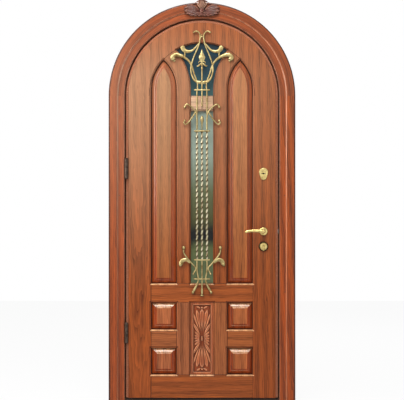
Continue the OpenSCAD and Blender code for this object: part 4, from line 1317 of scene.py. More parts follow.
SCROLLS = ForgedGroup(
    bars=(ForgedBar(((-100, -65), (-89, -50), (-62, -65), (-38, -95), (-29, -133), (-29, -206)),
                    (5.0, 4.6, 4.2, 4.2, 4.4)),
          ForgedBar(((-34, -90), (-55, -124), (-74, -150), (-94, -167), (-106, -158), (-100, -147)),
                    (4.6, 4.4, 4.2, 4.2, 5.0))),
    posts=((-29, -110, 29, 4.2), (0, -52, 29, 4.2)),
    balls=((-101, -66, 7.4, 1.15), (-100, -146, 6.6, 1.15), (0, -57, 6.8, 1.0)),
    crossbars=((-206, 42),),
    studs=((-29, -44.5),),
    knops=(Knop(((-117, 3.0), (-126, 8.0), (-138, 10.6), (-152, 8.0), (-170, 3.6), (-206, 2.6)), (16, 30),
                deepest=8.0),))
FOOT = ForgedGroup(
    bars=(ForgedBar(((-126, -28), (-114, -5), (-92, 0), (-68, -19)), (11.5, 12.0, 9.5, 5.0), 0.55),
          ForgedBar(((-107, 66), (-105, 40), (-85, 10), (-52, -28), (-36, -50), (-50, -81)),
                    (5.2, 4.8, 4.4, 4.2, 4.0)),
          ForgedBar(((-29, 0), (-29, -60), (-22, -109), (-28, -142), (-52, -187)), (4.6, 4.6, 4.8, 5.6, 8.2))),
    posts=((0, -166, 0, 4.4),),
    balls=((0, -207, 13.0, 0.5), (-126, -28, 10.5, 1.15), (-107, 70, 11.0, 1.15), (-50, -82, 5.4, 1.15),
           (-53, -189, 8.6, 1.15)),
    crossbars=((0, 42), (-111, 44)),
    studs=((-107, 71), (-53, -189)),
    knops=(Knop(((-164, 5.0), (-168, 7.2), (-180, 7.6), (-192, 7.2), (-199, 5.4), (-202, 7.6)), (18, 24)),))


@dataclass
class Grille:
    """The forged grille over the panes: crown, scrolls, twisted bars and foot.

    Attributes:
        gilt: The grille's finish.
        twist_gilt: Finish of the twisted bars, with painted shade on their sides.
        plane_y: Depth of the bars' middle plane.
        face_y: Face of the oak that the studs stand on.
        crown_z: Height that the crown and the scrolls hang on.
        foot_z: Height that the foot hangs on.
        mid_drop: Drop from the crown's height to the middle crossbar.
        bar_x: Distance between the twisted bars.
        twist_half: Half-width of a twisted bar.
        twist_pitch: Length of its full turn.
        twist_steps: Faces along each full turn.
        cross_deep: Half-depth of a crossbar.
        cross_half: Half-height of a crossbar.
        cross_arris: Width of its eased edges.
        button: Radius of the buttons at its ends, in millimetres.
    """

    gilt: PolishedMetal
    twist_gilt: PolishedMetal
    plane_y: float = -91 * MM
    face_y: float = -77 * MM
    crown_z: float = 1.791
    foot_z: float = 0.834
    mid_drop: float = 206 * MM
    bar_x: float = 29 * MM
    twist_half: float = 4.6 * MM
    twist_pitch: float = 126 * MM
    twist_steps: int = 28
    cross_deep: float = 4.6 * MM
    cross_half: float = 4 * MM
    cross_arris: float = 1 * MM
    button: float = 5.4

    ball_flat = 0.9
    stud_half = 4
    stud_profile = ((0, 0.2), (7, 0.2), (7, 1.6), (stud_half, 2.4))

    def build(self) -> list[bpy.types.Object]:
        """Forges the four parts of the grille and gilds them.

        Returns:
            The four finished objects.
        """
        gilt, twist_gilt = self.gilt.material(), self.twist_gilt.material()
        return [self.forged("grille_crown", CROWN, self.crown_z, gilt),
                self.forged("grille_scrolls", SCROLLS, self.crown_z, gilt),
                self.twisted("grille_twisted_bars", twist_gilt),
                self.forged("grille_foot", FOOT, self.foot_z, gilt)]

    def forged(self, node: str, group: ForgedGroup, height: float,
               finish: bpy.types.Material) -> bpy.types.Object:
        """Forges one group.

        Args:
            node: The solid that it stands for.
            group: What it is made of.
            height: Height that it hangs on.
            finish: Its material.

        Returns:
            The finished object.
        """
        piece, anchor = Piece("gilt_" + node), Vector((0, self.plane_y, height))
        for bar in group.bars:
            for side in (1, -1):
                bar.build(piece, anchor, side)
        for knop in group.knops:
            knop.build(piece, anchor)
        for x, low, high, half in self.both_sides(group.posts):
            self.post(piece, anchor, x, low, high, half)
        for x, z, radius, tall in self.both_sides(group.balls):
            self.ball(piece, anchor, x, z, radius, tall)
        for z, reach in group.crossbars:
            self.crossbar(piece, anchor, z, reach)
        for x, z in self.both_sides(group.studs):
            self.stud(piece, x * MM, height + z * MM)
        return piece.finished("leaf", "forged_gilt", [finish], [node], smooth=42.0)

    def twisted(self, node: str, finish: bpy.types.Material) -> bpy.types.Object:
        """Twists the three square bars between the crossbars.

        Args:
            node: The solid that they stand for.
            finish: Their material.

        Returns:
            The finished object.
        """
        piece = Piece("gilt_" + node)
        low, high = self.foot_z + self.cross_half, self.crown_z - self.mid_drop - self.cross_half
        turns = (high - low) / self.twist_pitch
        twist, corner = 2 * math.pi * turns, self.twist_half * math.sqrt(2)
        for x in (-self.bar_x, 0.0, self.bar_x):
            ends = (Vector((x, self.plane_y, low)), Vector((x, self.plane_y, high)))
            draw_bar(piece, lambda t: Section(ends[0].lerp(ends[1], t), UP, corner, corner, twist * t),
                     sides=4, steps=round(turns * self.twist_steps))
        return piece.finished("leaf", "forged_gilt", [finish], [node], smooth=42.0)

    @staticmethod
    def both_sides(rows: Iterable[tuple[float, ...]]) -> list[tuple[float, ...]]:
        """Gives each row of numbers, and its mirror image unless it stands in the middle."""
        return [(across, *rest) for x, *rest in rows for across in sorted({x, -x})]

    def post(self, piece: Piece, anchor: Vector, x: float, low: float, high: float, half: float) -> None:
        """Stands a round bar between two heights, all in millimetres from the anchor."""
        ends = [anchor + Vector((x * MM, 0, z * MM)) for z in (low, high)]
        draw_bar(piece, lambda t: Section(ends[0].lerp(ends[1], t), UP, half * MM, half * MM), sides=14, steps=3)

    def ball(self, piece: Piece, anchor: Vector, x: float, z: float, radius: float, tall: float) -> None:
        """Sets a hammered ball on the grille, in millimetres from the anchor."""
        made = bmesh.ops.create_uvsphere(piece.mesh, u_segments=18, v_segments=12, radius=radius * MM)["verts"]
        bmesh.ops.scale(piece.mesh, verts=made, vec=(1, self.ball_flat, tall))
        bmesh.ops.translate(piece.mesh, verts=made, vec=anchor + Vector((x * MM, 0, z * MM)))

    def crossbar(self, piece: Piece, anchor: Vector, z: float, reach: float) -> None:
        """Lays a square crossbar with eased edges and button ends.

        Args:
            piece: The grille's mesh.
            anchor: The middle point that the group hangs on.
            z: Its height above the anchor, in millimetres.
            reach: Its half-length in millimetres.
        """
        made = bmesh.ops.create_cube(piece.mesh, size=1.0)["verts"]
        bmesh.ops.scale(piece.mesh, verts=made, vec=(2 * reach * MM, 2 * self.cross_deep, 2 * self.cross_half))
        bmesh.ops.translate(piece.mesh, verts=made, vec=anchor + UP * (z * MM))
        edges = list({e for v in made for e in v.link_edges})
        bmesh.ops.bevel(piece.mesh, geom=edges, offset=self.cross_arris, offset_type="OFFSET", affect="EDGES",
                        segments=2, profile=0.5, material=-1)
        for side in (-1, 1):
            self.ball(piece, anchor, side * reach, z, self.button, 1.0)

    def stud(self, piece: Piece, x: float, z: float) -> None:
        """Fixes a bar to the oak with a turned stud and its washer."""
        height = abs(self.plane_y - self.face_y)
        shank = [(self.stud_half * MM, height), (0, height)]
        profile = [*((r * MM, h * MM) for r, h in self.stud_profile), *shank]
        turn_piece(piece, profile, outward(x, self.face_y, z), steps=16)


@dataclass
class Keystone:
    """The carved keystone: a fluted bell between two acanthus leaves, over two hanging leaves.

    Attributes:
        oak: Oak of its leaves.
        bell_oak: Paler oak of the bell's flutes.
        root_z: Height of the root of the bell.
        outer_y: Face of the architrave's outer band, less a hair's clearance.
        inner_y: Face of its inner band, less the same.
        step_r: Radius of the step between the bands, about the arch's centre.
        spring_z: Height of the arch's centre.
        pitch: Size of a mesh face.
        least: Relief in millimetres below which the ground is cut away.
        node: The solid that it stands for.
    """

    oak: OakFinish
    bell_oak: OakFinish
    root_z: float = 2.285
    outer_y: float = -85.3 * MM
    inner_y: float = -75.3 * MM
    step_r: float = 494 * MM
    spring_z: float = 1.791
    pitch: float = 1.1 * MM
    least: float = 0.5
    node: str = "keystone"

    rim_rounds = 4
    rim_ease = 0.5
    top_ease = 0.35
    flutes = tuple(CutLeaf(turn, 64 - abs(turn) * 0.18, 6.2, 17 - abs(turn) * 0.1, 1.7, -1.6, start=2)
                   for turn in (-33, -22, -11, 0, 11, 22, 33))
    side = (CutLeaf(54, 84, 12, 11, 1.1, 2.6, 20, root=(12, 2)),
            CutLeaf(70, 96, 11.5, 12, 1.3, 2.6, 14, root=(12, 2)),
            CutLeaf(86, 98, 10.5, 12, 1.3, 2.4, 6, root=(12, 0)),
            CutLeaf(101, 88, 10, 11, 1.3, 2.4, -3, root=(12, -2)),
            CutLeaf(116, 68, 9.5, 10, 1.2, 2.2, -8, root=(12, -3)),
            CutLeaf(134, 46, 8, 9, 1.1, 1.8, -6, root=(10, -4)),
            CutLeaf(84, 100, 30, 4, 1.0, root=(6, 1)),
            CutLeaf(64, 26, 8, 11, 1.3, 1.6, 14, root=(24, 42)),
            CutLeaf(162, 38, 9, 9, 1.1, 1.8, -8, root=(2, 0)))
    middle = (CutLeaf(0, 20, 8, 15, 1.0, 2.0, root=(0, 56)), CutLeaf(180, 26, 6, 10, 1.0, 1.2, root=(0, -6)),
              CutLeaf(0, 30, 13, 12, 1.0, root=(0, -12)))
    crest = (CutLeaf(42, 22, 7, 14, 1.0, 1.8, 4, root=(4, 54)),
             CutLeaf(74, 26, 6, 12, 1.0, 1.4, 6, root=(8, 54)))

    def leaves(self) -> list[CutLeaf]:
        """Lists the bell's flutes and the leaves on both sides.

        Returns:
            All leaves of the carving.
        """
        pairs = [*self.side, *self.crest]
        return [*self.flutes, *self.middle, *pairs, *(leaf.mirrored() for leaf in pairs)]

    def relief(self, place: Vector, cuts: Iterable[CutLeaf]) -> float:
        """Gives the highest of some cuts at a place, in millimetres."""
        x, z = place.x / MM, (place.z - self.root_z) / MM
        return max(cut.height(x, z) for cut in cuts)

    def ground(self, x: float, z: float) -> float:
        """Gives the face of the architrave behind a point."""
        return self.outer_y if math.hypot(x, z - self.spring_z) > self.step_r else self.inner_y

    def build(self) -> bpy.types.Object:
        """Cuts the outline from a fine sheet, raises its relief and dresses it.

        Returns:
            The finished object.
        """
        low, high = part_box(self.node)
        size, leaves = high - low, self.leaves()
        piece = Piece("oak_" + self.node)
        mesh = piece.mesh
        piece.wear_and_relief_shading = mesh.verts.layers.float.new(RELIEF_SHADING_LAYER)
        columns, rows = round(size.x / self.pitch), round(size.z / self.pitch)
        bmesh.ops.create_grid(mesh, x_segments=columns, y_segments=rows, size=0.5)
        for vert in mesh.verts:
            x, z = low.x + (vert.co.x + 0.5) * size.x, low.z + (vert.co.y + 0.5) * size.z
            vert.co = Vector((x, self.ground(x, z), z))
        relief = {v: self.relief(v.co, leaves) for v in mesh.verts}
        waste = [f for f in mesh.faces if min(relief[v] for v in f.verts) < self.least]
        bmesh.ops.delete(mesh, geom=waste, context="FACES")
        rim = [v for v in mesh.verts if v.is_boundary]
        for _ in range(self.rim_rounds):
            bmesh.ops.smooth_vert(mesh, verts=rim, factor=self.rim_ease, use_axis_x=True, use_axis_z=True)
        lifted = bmesh.ops.extrude_face_region(mesh, geom=list(mesh.faces), use_keep_orig=True)["geom"]
        top = [g for g in lifted if isinstance(g, bmesh.types.BMVert)]
        for vert in top:
            vert.co.y = max(self.outer_y - max(self.relief(vert.co, leaves), self.least) * MM, low.y)
        bmesh.ops.smooth_vert(mesh, verts=top, factor=self.top_ease, use_axis_y=True)
        # Marks the relief, from which the painted shade and highlights come.
        piece.mark_relief_shading(top)
        foliage = [leaf for leaf in leaves if leaf not in self.flutes]
        for face in mesh.faces:
            centre = face.calc_center_median()
            face.material_index = int(self.relief(centre, self.flutes) > self.relief(centre, foliage))
        bmesh.ops.recalc_face_normals(mesh, faces=list(mesh.faces))
        oaks = [self.oak.material(), self.bell_oak.material()]
        return piece.finished("frame", "oak", oaks, [self.node], smooth=60.0)


class Face(Enum):
    """The face of the door that a fitting stands on, with the sign of its outward direction."""

    OUTSIDE = -1
    INSIDE = 1


@dataclass
class LeverHandle:
    """A lever on its turned neck.

    Attributes:
        face: The face of the door that it stands on.
        brass: Its finish.
        node: The solid that it stands for.
        hub_x: Place of the hub across the door.
        hub_z: Height of the hub.
        foot_y: Plane on which the neck starts.
        reach: Distance from that plane to the lever's middle.
    """

    face: Face
    brass: PolishedMetal
    node: str
    hub_x: float = 0.359
    hub_z: float = 1.0
    foot_y: float = -86.3 * MM
    reach: float = 34.1 * MM

    neck = ((0, 0.0), (12.5, 0.0), (12.5, 2.0), (9.5, 4.0), (8.0, 9.0), (7.6, 20.0), (8.6, 27.0), (8.8, 33.0),
            (7.6, 37.5), (5.0, 40.2), (0, 41.0))
    bend = ((7, 0.0), (-12, 1.5), (-38, 3.6), (-70, 3.8), (-96, 0.2), (-111, -4.5))
    halves = (10.5, 11.0, 9.2, 7.8, 7.2, 6.0)
    oval = 0.62
    look = 0.01
    tip = 0.06
    least_nose = 0.02

    def build(self) -> bpy.types.Object:
        """Turns the neck, draws the lever and dresses both.

        Returns:
            The finished object.
        """
        piece = Piece("brass_" + self.node)
        place = outward if self.face is Face.OUTSIDE else inward
        neck = [(r * MM, h * MM) for r, h in self.neck]
        turn_piece(piece, neck, place(self.hub_x, self.foot_y, self.hub_z))
        hub = Vector((self.hub_x, self.foot_y + self.face.value * self.reach, self.hub_z))
        line = [hub + Vector((x * MM, 0, z * MM)) for x, z in self.bend]
        sizes = [Vector((r * MM, 0, 0)) for r in self.halves]

        def section(share: float) -> Section:
            """Gives the lever's section: an oval that closes in a rounded tip."""
            ahead = along(line, share + self.look) - along(line, share - self.look)
            half = along(sizes, share).x * nose(min(share, 1 - share) / self.tip, self.least_nose)
            return Section(along(line, share), ahead.normalized(), half, half * self.oval)

        draw_bar(piece, section, sides=20, steps=54)
        return piece.finished("handle", "gilt_brass", [self.brass.material()], [self.node], smooth=48.0)


@dataclass
class SoftenedPart:
    """A machined part whose solid gives its form: its edges are eased and it is dressed.

    Attributes:
        node: The solid's node.
        finish: Its finish.
        slot: The record's material slot.
        body: The body that it moves with.
        ease: Width of its eased edges.
    """

    node: str
    finish: Finish
    slot: str
    body: str
    ease: float = 0.6 * MM

    sharp = 32.0

    def eased(self) -> Piece:
        """Gives a copy of the solid with its edges eased."""
        piece = Piece.from_node("fine_" + self.node, self.node)
        piece.soften(self.ease, angle=self.sharp)
        return piece

    def build(self) -> bpy.types.Object:
        """Eases the solid's edges and dresses it.

        Returns:
            The finished object.
        """
        piece = self.eased()
        return piece.finished(self.body, self.slot, [self.finish.material()], [self.node])


@dataclass
class RingedPlate(SoftenedPart):
    """A round plate with a dark ring round a gilt middle: the ring is painted shade.

    Attributes:
        ring: Finish of the ring.
        middle_r: Radius of the gilt middle.
    """

    ring: PolishedMetal | None = None
    middle_r: float = 22 * MM

    def build(self) -> bpy.types.Object:
        """Eases the solid's edges and dresses its ring and its middle apart.

        Returns:
            The finished object.
        """
        low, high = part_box(self.node)
        centre = (low + high) / 2
        piece = self.eased()
        # The ring round the gilt middle gets the dark finish: painted shade.
        for face in piece.mesh.faces:
            reach = [math.hypot(v.co.x - centre.x, v.co.z - centre.z) for v in face.verts]
            face.material_index = int(sum(reach) / len(reach) > self.middle_r)
        finishes = [self.finish.material(), self.ring.material()]
        return piece.finished(self.body, self.slot, finishes, [self.node])


@dataclass
class KeyholeShadePlate:
    """A dark steel plate behind the upper keyhole's plate: painted shade inside the keyhole.

    Attributes:
        finish: Its finish.
        centre: Its middle.
        size: Its width, thickness and height.
    """

    finish: PolishedMetal
    centre: tuple[float, float, float] = (0.359, -76.4 * MM, 1.337)
    size: tuple[float, float, float] = (22 * MM, 0.6 * MM, 26 * MM)

    def build(self) -> bpy.types.Object:
        """Makes the plate and dresses it.

        Returns:
            The finished object.
        """
        piece = Piece("keyhole_shade_plate")
        made = bmesh.ops.create_cube(piece.mesh, size=1.0)["verts"]
        bmesh.ops.scale(piece.mesh, verts=made, vec=self.size)
        bmesh.ops.translate(piece.mesh, verts=made, vec=self.centre)
        return piece.finished("leaf", "plain_steel", [self.finish.material()])


@dataclass
class NailPlugs:
    """Plugs of filler over the fixings of the architrave.

    Attributes:
        finish: The filler.
        across: Distance of the plugs from the middle.
        heights: Heights of the plugs on the legs.
        face_y: The face that they sit in.
        radius: Radius of a plug.
    """

    finish: OakFinish
    across: float = 0.482
    heights: tuple[float, ...] = (0.12, 0.645, 1.21, 1.685)
    face_y: float = -75 * MM
    radius: float = 3.4 * MM

    profile = ((0, 0.6), (0.6, 0.5), (1, 0.25), (1, 0.02), (0, 0.02))

    def build(self) -> bpy.types.Object:
        """Sets a slightly domed plug in each place and dresses it.

        Returns:
            The finished object.
        """
        piece = Piece("oak_plugs")
        dome = [(share * self.radius, rise * MM) for share, rise in self.profile]
        for side in (-1, 1):
            for z in self.heights:
                turn_piece(piece, dome, outward(side * self.across, self.face_y, z), steps=16)
        return piece.finished("frame", "oak", [self.finish.material()])


def dress(finish: Finish, *nodes: str) -> None:
    """Dresses solids as they are.

    Args:
        finish: The finish that they share.
        nodes: Their names.
    """
    material = finish.material()
    for node in nodes:
        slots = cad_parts[node].data.materials
        slots.clear()
        slots.append(material)
        LOG.info("%s: dressed in %s", node, material.name)


@dataclass
class Studio:
    """A white studio: pale floor, even light, a key from the upper left and the photograph's view.

    Attributes:
        sky: Strength of the even light.
        key_power: Power of the key light.
        side_power: Power of the tall light on the hinge side.
        top_power: Power of the light above the door.
        fill_power: Power of the fill light.
        back_power: Power of the light on the inside.
        view_width: Width of the view at the door.
        view_z: Height of the view's middle.
        face_y: The door's face.
        distance: Distance of the camera from the door's face.
        sensor: Width of the camera's sensor in millimetres.
        floor_size: Length of the floor's sides.
        floor_white: Share of plain white in the floor as the camera sees it.
        floor_drop: Depth of the floor below the threshold.
    """

    sky: float = 0.27
    key_power: float = 38.0
    side_power: float = 34.0
    top_power: float = 92.0
    fill_power: float = 6.0
    back_power: float = 60.0
    view_width: float = 2.359
    view_z: float = 1.183
    face_y: float = -77 * MM
    distance: float = 7.0
    sensor: float = 36.0
    floor_size: float = 14.0
    floor_white: float = 0.94
    floor_drop: float = 0.5 * MM

    def build(self) -> None:
        """Lays the floor, lights the stage and sets the camera."""
        self.lay_floor()
        self.light_world()
        self.lamp("key_light", (-2.2, -3.0, 3.2), (-0.1, 0.0, 1.5), (1.6, 1.6), self.key_power)
        self.lamp("side_light", (-2.2, -0.9, 2.2), (-0.2, -0.1, 1.5), (0.7, 2.2), self.side_power)
        self.lamp("top_light", (-0.15, -2.4, 4.3), (0.0, -0.1, 0.9), (1.3, 1.4), self.top_power)
        self.lamp("fill_light", (3.2, -4.2, 1.4), (0.0, 0.0, 1.0), (2.6, 2.6), self.fill_power)
        self.lamp("back_light", (1.8, 3.6, 3.4), (0.0, 0.0, 1.2), (2.4, 2.4), self.back_power)
        self.set_camera()
        bpy.context.scene.view_settings.view_transform = "Standard"
        LOG.info("studio: floor, five lamps and camera")

    def lay_floor(self) -> None:
        """Lays the pale floor, nearly white to the camera and in mirrors, with a soft shadow left on it."""
        shader = Shader("studio_floor")
        shader.surface_values(base_color=paint((240, 240, 240)), roughness=0.8, specular=0.0)
        glow = shader.add("Emission", {"Color": (1, 1, 1, 1), "Strength": 1.0}).outputs[0]
        seen = shader.sum("MULTIPLY", self.seen(shader), self.floor_white)
        both = shader.add("MixShader", {0: seen, 1: shader.surface.outputs[0], 2: glow}).outputs[0]
        output = next(n for n in shader.nodes if n.type == "OUTPUT_MATERIAL")
        shader.put(output, "Surface", both)
        mesh = bmesh.new()
        bmesh.ops.create_grid(mesh, x_segments=2, y_segments=2, size=self.floor_size / 2)
        data = bpy.data.meshes.new("studio_floor")
        mesh.to_mesh(data)
        mesh.free()
        data.materials.append(shader.material)
        floor = bpy.data.objects.new("studio_floor", data)
        floor.location.z = -self.floor_drop
        bpy.context.scene.collection.objects.link(floor)

    @staticmethod
    def seen(tree: NodeTree) -> Socket:
        """Gives one for rays from the camera, from mirrors and through glass."""
        path = tree.add("LightPath")
        mirrored = tree.sum("MAXIMUM", path.outputs["Is Glossy Ray"], path.outputs["Is Transmission Ray"])
        return tree.sum("MAXIMUM", path.outputs["Is Camera Ray"], mirrored)

    def light_world(self) -> None:
        """Makes the surroundings white to the camera, in mirrors and through glass, and dimmer as light."""
        world = bpy.data.worlds.new("studio_world")
        world.use_nodes = True
        bpy.context.scene.world = world
        tree = NodeTree(world.node_tree)
        tree.nodes.clear()
        strength = tree.span(self.seen(tree), self.sky, 1.0)
        sky = tree.add("Background", {"Color": (1, 1, 1, 1), "Strength": strength}).outputs[0]
        tree.add("OutputWorld", {"Surface": sky})

    @staticmethod
    def lamp(name: str, place: Sequence[float], target: Sequence[float], size: Sequence[float],
             power: float) -> None:
        """Hangs a soft light that points at a target.

        Args:
            name: The light's name.
            place: Where it hangs.
            target: What it points at.
            size: Its width and height.
            power: Its power in watts.
        """
        data = bpy.data.lights.new(name, "AREA")
        data.shape = "RECTANGLE"
        data.size, data.size_y = size
        data.energy = power
        light = bpy.data.objects.new(name, data)
        light.location = place
        light.rotation_euler = (Vector(target) - Vector(place)).to_track_quat("-Z", "Y").to_euler()
        bpy.context.scene.collection.objects.link(light)

    def set_camera(self) -> None:
        """Sets the camera square to the door, at the photograph's view."""
        data = bpy.data.cameras.new("photo_view")
        data.sensor_width = self.sensor
        data.lens = self.sensor * self.distance / self.view_width
        camera = bpy.data.objects.new("photo_view", data)
        camera.location = (0.0, self.face_y - self.distance, self.view_z)
        camera.rotation_euler = (math.pi / 2, 0, 0)
        bpy.context.scene.collection.objects.link(camera)
        bpy.context.scene.camera = camera


def oak(name: str, tone: Rgb, board: float, grain: Grain = Grain.UPRIGHT, figure: float = 1.0,
        painted_light: float = 1.0, varnish: float = 0.0, tilt: float = 0.045) -> OakFinish:
    """Gives one board's finish."""
    return OakFinish("oak_" + name, tone, grain, board, figure, painted_light, varnish=varnish, tilt=tilt)


def joinery() -> list[OakMember]:
    """Lists the oak members of the leaf and the architrave.

    The stiles, the arched head and the upper mullions are veneered from one board, so the grain runs on across
    their joints.

    Returns:
        The members.
    """
    level, arched = Grain.LEVEL, Grain.ARCHED
    face = oak("face", (148, 74, 31), 1.0, figure=1.1)
    leaf = [
        ("stile_left", face),
        ("stile_right", face),
        ("arched_head", replace(face, name="oak_arched_face", joint_r=309 * MM)),
        ("mullion_left", face),
        ("mullion_right", face),
        ("lower_mullion_left", oak("lower_mullion_left", (156, 90, 54), 6.2)),
        ("lower_mullion_right", oak("lower_mullion_right", (160, 92, 52), 7.4)),
        ("transom", oak("transom", (206, 152, 112), 8.8, level, 0.6, 0.7)),
        ("mid_rail", oak("mid_rail", (160, 82, 36), 9.6, level, 0.8)),
        ("bottom_rail", oak("bottom_rail", (152, 78, 34), 10.5, level, 0.8)),
        ("cross_rail_left", oak("cross_rail_left", (166, 94, 52), 11.2, level, 0.7)),
        ("cross_rail_right", oak("cross_rail_right", (160, 88, 44), 12.9, level, 0.7)),
        ("inner_panel", oak("inner_panel", (174, 98, 46), 13.3, painted_light=0.0)),
    ]
    trim = [
        ("architrave_left", oak("architrave_left", (148, 68, 28), 14.1, figure=1.3, painted_light=0.45, varnish=0.15)),
        ("architrave_arch", oak("architrave_arch", (140, 66, 28), 15.7, arched, painted_light=0.4, varnish=0.15)),
        ("architrave_right", oak("architrave_right", (152, 68, 22), 16.4, figure=2.4, painted_light=0.45, varnish=0.15,
                                 tilt=0.15)),
    ]
    # Pale oak for the architrave's inner edges: a painted highlight.
    edge_highlight = oak("inner_edge_highlight", (186, 112, 72), 17.0, varnish=0.8)
    edge = oak("outer_edge", (84, 36, 18), 18.0, painted_light=0.0)
    groove = oak("joint_groove", (98, 42, 16), 19.0, painted_light=0.3)
    # Pale oak for the upturned chamfers: a painted highlight.
    ledge_highlight = oak("ledge_highlight", (226, 166, 118), 19.5, painted_light=0.0)
    lined = {node: replace(finish, joint_r=541 * MM, joint_half=2.4 * MM) for node, finish in trim}
    return ([OakMember(node, finish, groove=groove, ledge_highlight=ledge_highlight) for node, finish in leaf]
            + [ArchitraveLength(node, finish, "frame", edge_highlight=edge_highlight, edge=edge) for node, finish in lined.items()])


def panels() -> list[RaisedPanel]:
    """Lists the raised panels.

    Returns:
        The six panels.
    """
    # Near-black oak for the tongues: painted shade in the groove.
    stain, groove = (154, 64, 18), oak("panel_groove_shade", (60, 24, 10), 26.0, painted_light=0.0)
    # Pale oak for the square panels' upturned bevels: a painted highlight.
    bevel_highlight = oak("panel_bevel_highlight", (220, 160, 112), 27.0, painted_light=0.3, varnish=0.6)
    tall = {"tall_panel_left": (154, 84, 38), "tall_panel_right": (166, 92, 44)}
    square = {"upper_square_left": (172, 98, 58), "upper_square_right": (174, 98, 54),
              "lower_square_left": (168, 96, 58), "lower_square_right": (166, 92, 50)}
    made = []
    for i, (node, tone) in enumerate({**tall, **square}.items()):
        moulding = oak(node + "_moulding", stain, 20.0 + i, varnish=0.4)
        made.append(RaisedPanel(node, oak(node, tone, 20.0 + i, figure=0.7), moulding, groove,
                                moulding if node in tall else bevel_highlight, node in tall))
    return made


def furniture(brass: PolishedMetal, ring_shade: PolishedMetal) -> list[LeverHandle | SoftenedPart | KeyholeShadePlate]:
    """Lists the levers, roses and plates.

    Args:
        brass: Finish of the gilt parts.
        ring_shade: Finish of the dark ring round the cylinder's plate: painted shade.

    Returns:
        The pieces in order.
    """
    return [
        LeverHandle(Face.OUTSIDE, brass, "lever_outer"),
        LeverHandle(Face.INSIDE, brass, "lever_inner", foot_y=25.3 * MM),
        SoftenedPart("lever_rose", brass, "gilt_brass", "leaf", 1.4 * MM),
        RingedPlate("cylinder_escutcheon", brass, "gilt_brass", "leaf", 1.0 * MM, ring_shade),
        # A dark plate behind the keyhole: painted shade.
        KeyholeShadePlate(PolishedMetal("keyhole_shade_steel", (60, 52, 44), (36, 32, 28), 0.45)),
        SoftenedPart("key_escutcheon", brass, "gilt_brass", "leaf", 1.4 * MM),
        SoftenedPart("inner_escutcheons", brass, "gilt_brass", "leaf", 1.0 * MM),
        SoftenedPart("thumbturn", brass, "gilt_brass", "thumb", 1.2 * MM),
    ]


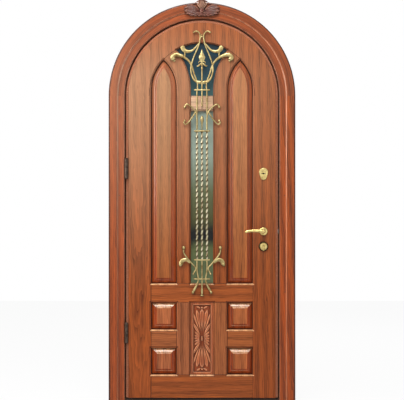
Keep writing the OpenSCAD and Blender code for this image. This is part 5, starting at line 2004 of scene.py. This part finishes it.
def steelwork() -> None:
    """Eases and dresses the steel, glass, seals and fill."""
    jamb = CoatedSteel("coated_steel_jamb", (134, 82, 58), (176, 126, 100), 0.50)
    sill = CoatedSteel("coated_steel_sill", (44, 26, 18), (104, 72, 52), 0.56)
    zinc = PolishedMetal("zinc_steel", (176, 178, 180), (128, 128, 126), 0.34)
    bright = PolishedMetal("bright_steel", (205, 205, 204), (150, 148, 144), 0.2)
    hinge = PolishedMetal("hinge_steel", (92, 78, 68), (48, 38, 32), 0.36)
    for node in ("jamb_hinge_side", "jamb_lock_side", "frame_head"):
        SoftenedPart(node, jamb, "coated_steel", "frame").build()
    SoftenedPart("threshold", sill, "coated_steel", "frame").build()
    skin = CoatedSteel("coated_steel_leaf", (176, 104, 68), (214, 156, 122), 0.56)
    dress(skin, "leaf_skin", "leaf_back_sheet")
    dress(zinc, "wall_lugs", "leaf_ribs", "window_linings", "main_lock_case")
    dress(PolishedMetal("dark_steel", (58, 54, 50), (34, 32, 30), 0.4), "upper_lock_case")
    dress(PolishedMetal("cylinder_brass", (206, 182, 116), (150, 122, 66), 0.26), "lock_cylinder")
    dress(PolishedMetal("bronzed_steel", (76, 58, 44), (48, 38, 30), 0.36), "strike_plates")
    dress(bright, "spindle", "latch_bolt", "main_deadbolts", "upper_deadbolts")
    dress(hinge, "hinge_frame_halves", "hinge_leaf_halves", "hinge_pins")
    dress(SoftFill("black_rubber", (30, 30, 31), 420.0, 0.2 * MM), "door_seal")
    dress(SoftFill("mineral_wool", (186, 170, 118), 190.0, 2 * MM), "insulation")
    dress(PolishedMetal("spacer_aluminium", (170, 172, 174), (140, 140, 142), 0.4), "pane_spacers")
    upper = ((1.78, (62, 98, 96)), (1.95, (34, 66, 78)), (2.11, (32, 56, 68)))
    # The lower panes' stops paint a garden's reflection over the tint: painted reflection.
    lower = ((0.69, (112, 128, 88)), (0.90, (98, 108, 62)), (0.95, (12, 10, 6)), (0.99, (18, 15, 8)),
             (1.07, (84, 84, 44)), (1.22, (104, 110, 74)), (1.45, (156, 172, 156)), (1.70, (148, 164, 150)))
    dress(ToughenedGlass("glass_upper", upper, 0.2), "upper_panes")
    dress(ToughenedGlass("glass_lower", lower, 0.08), "lower_panes")


def main() -> None:
    """Builds every sub-assembly and sets the stage."""
    logging.basicConfig(level=logging.INFO, format="%(message)s")
    # The gilt finishes darken the sides of the bars and the furniture: painted shade.
    gilt = PolishedMetal("forged_gilt", (190, 172, 120), (124, 100, 58), 0.30, 0.3 * MM, 38.0, (92, 66, 36))
    twisted = replace(gilt, name="twisted_gilt", tone=(218, 208, 174), side_shade=(96, 82, 58), turned=(0.70, 0.97))
    brass = PolishedMetal("gilt_brass", (226, 204, 136), (168, 136, 76), 0.18, side_shade=(150, 116, 56))
    # Dark finish for the ring round the cylinder's plate: painted shade.
    ring_shade = PolishedMetal("dark_ring_shade", (50, 36, 24), (32, 24, 16), 0.34)
    for member in joinery():
        member.build()
    for panel in panels():
        panel.build()
    # The carvings get painted shade in their hollows and a painted highlight on their crests.
    carving = oak("carving", (168, 88, 48), 30.0, varnish=0.3)
    ground = oak("carving_ground", (140, 66, 34), 30.0)
    CarvedPanel(replace(carving, carved=True), replace(ground, carved=True)).build()
    # The keystone's leaves carry a stronger painted highlight on their crests and its bell a weaker one.
    leaf_oak = replace(oak("keystone", (82, 25, 14), 31.0, painted_light=0.0, varnish=0.2), carved=True, crest_highlight=1.4)
    Keystone(leaf_oak, replace(leaf_oak, name="oak_keystone_bell", tone=(150, 104, 84), crest_highlight=0.7)).build()
    NailPlugs(oak("plugs", (92, 52, 32), 32.0)).build()
    Grille(gilt, twisted).build()
    for fitting in furniture(brass, ring_shade):
        fitting.build()
    steelwork()
    Studio().build()


if __name__ == "__main__":
    main()
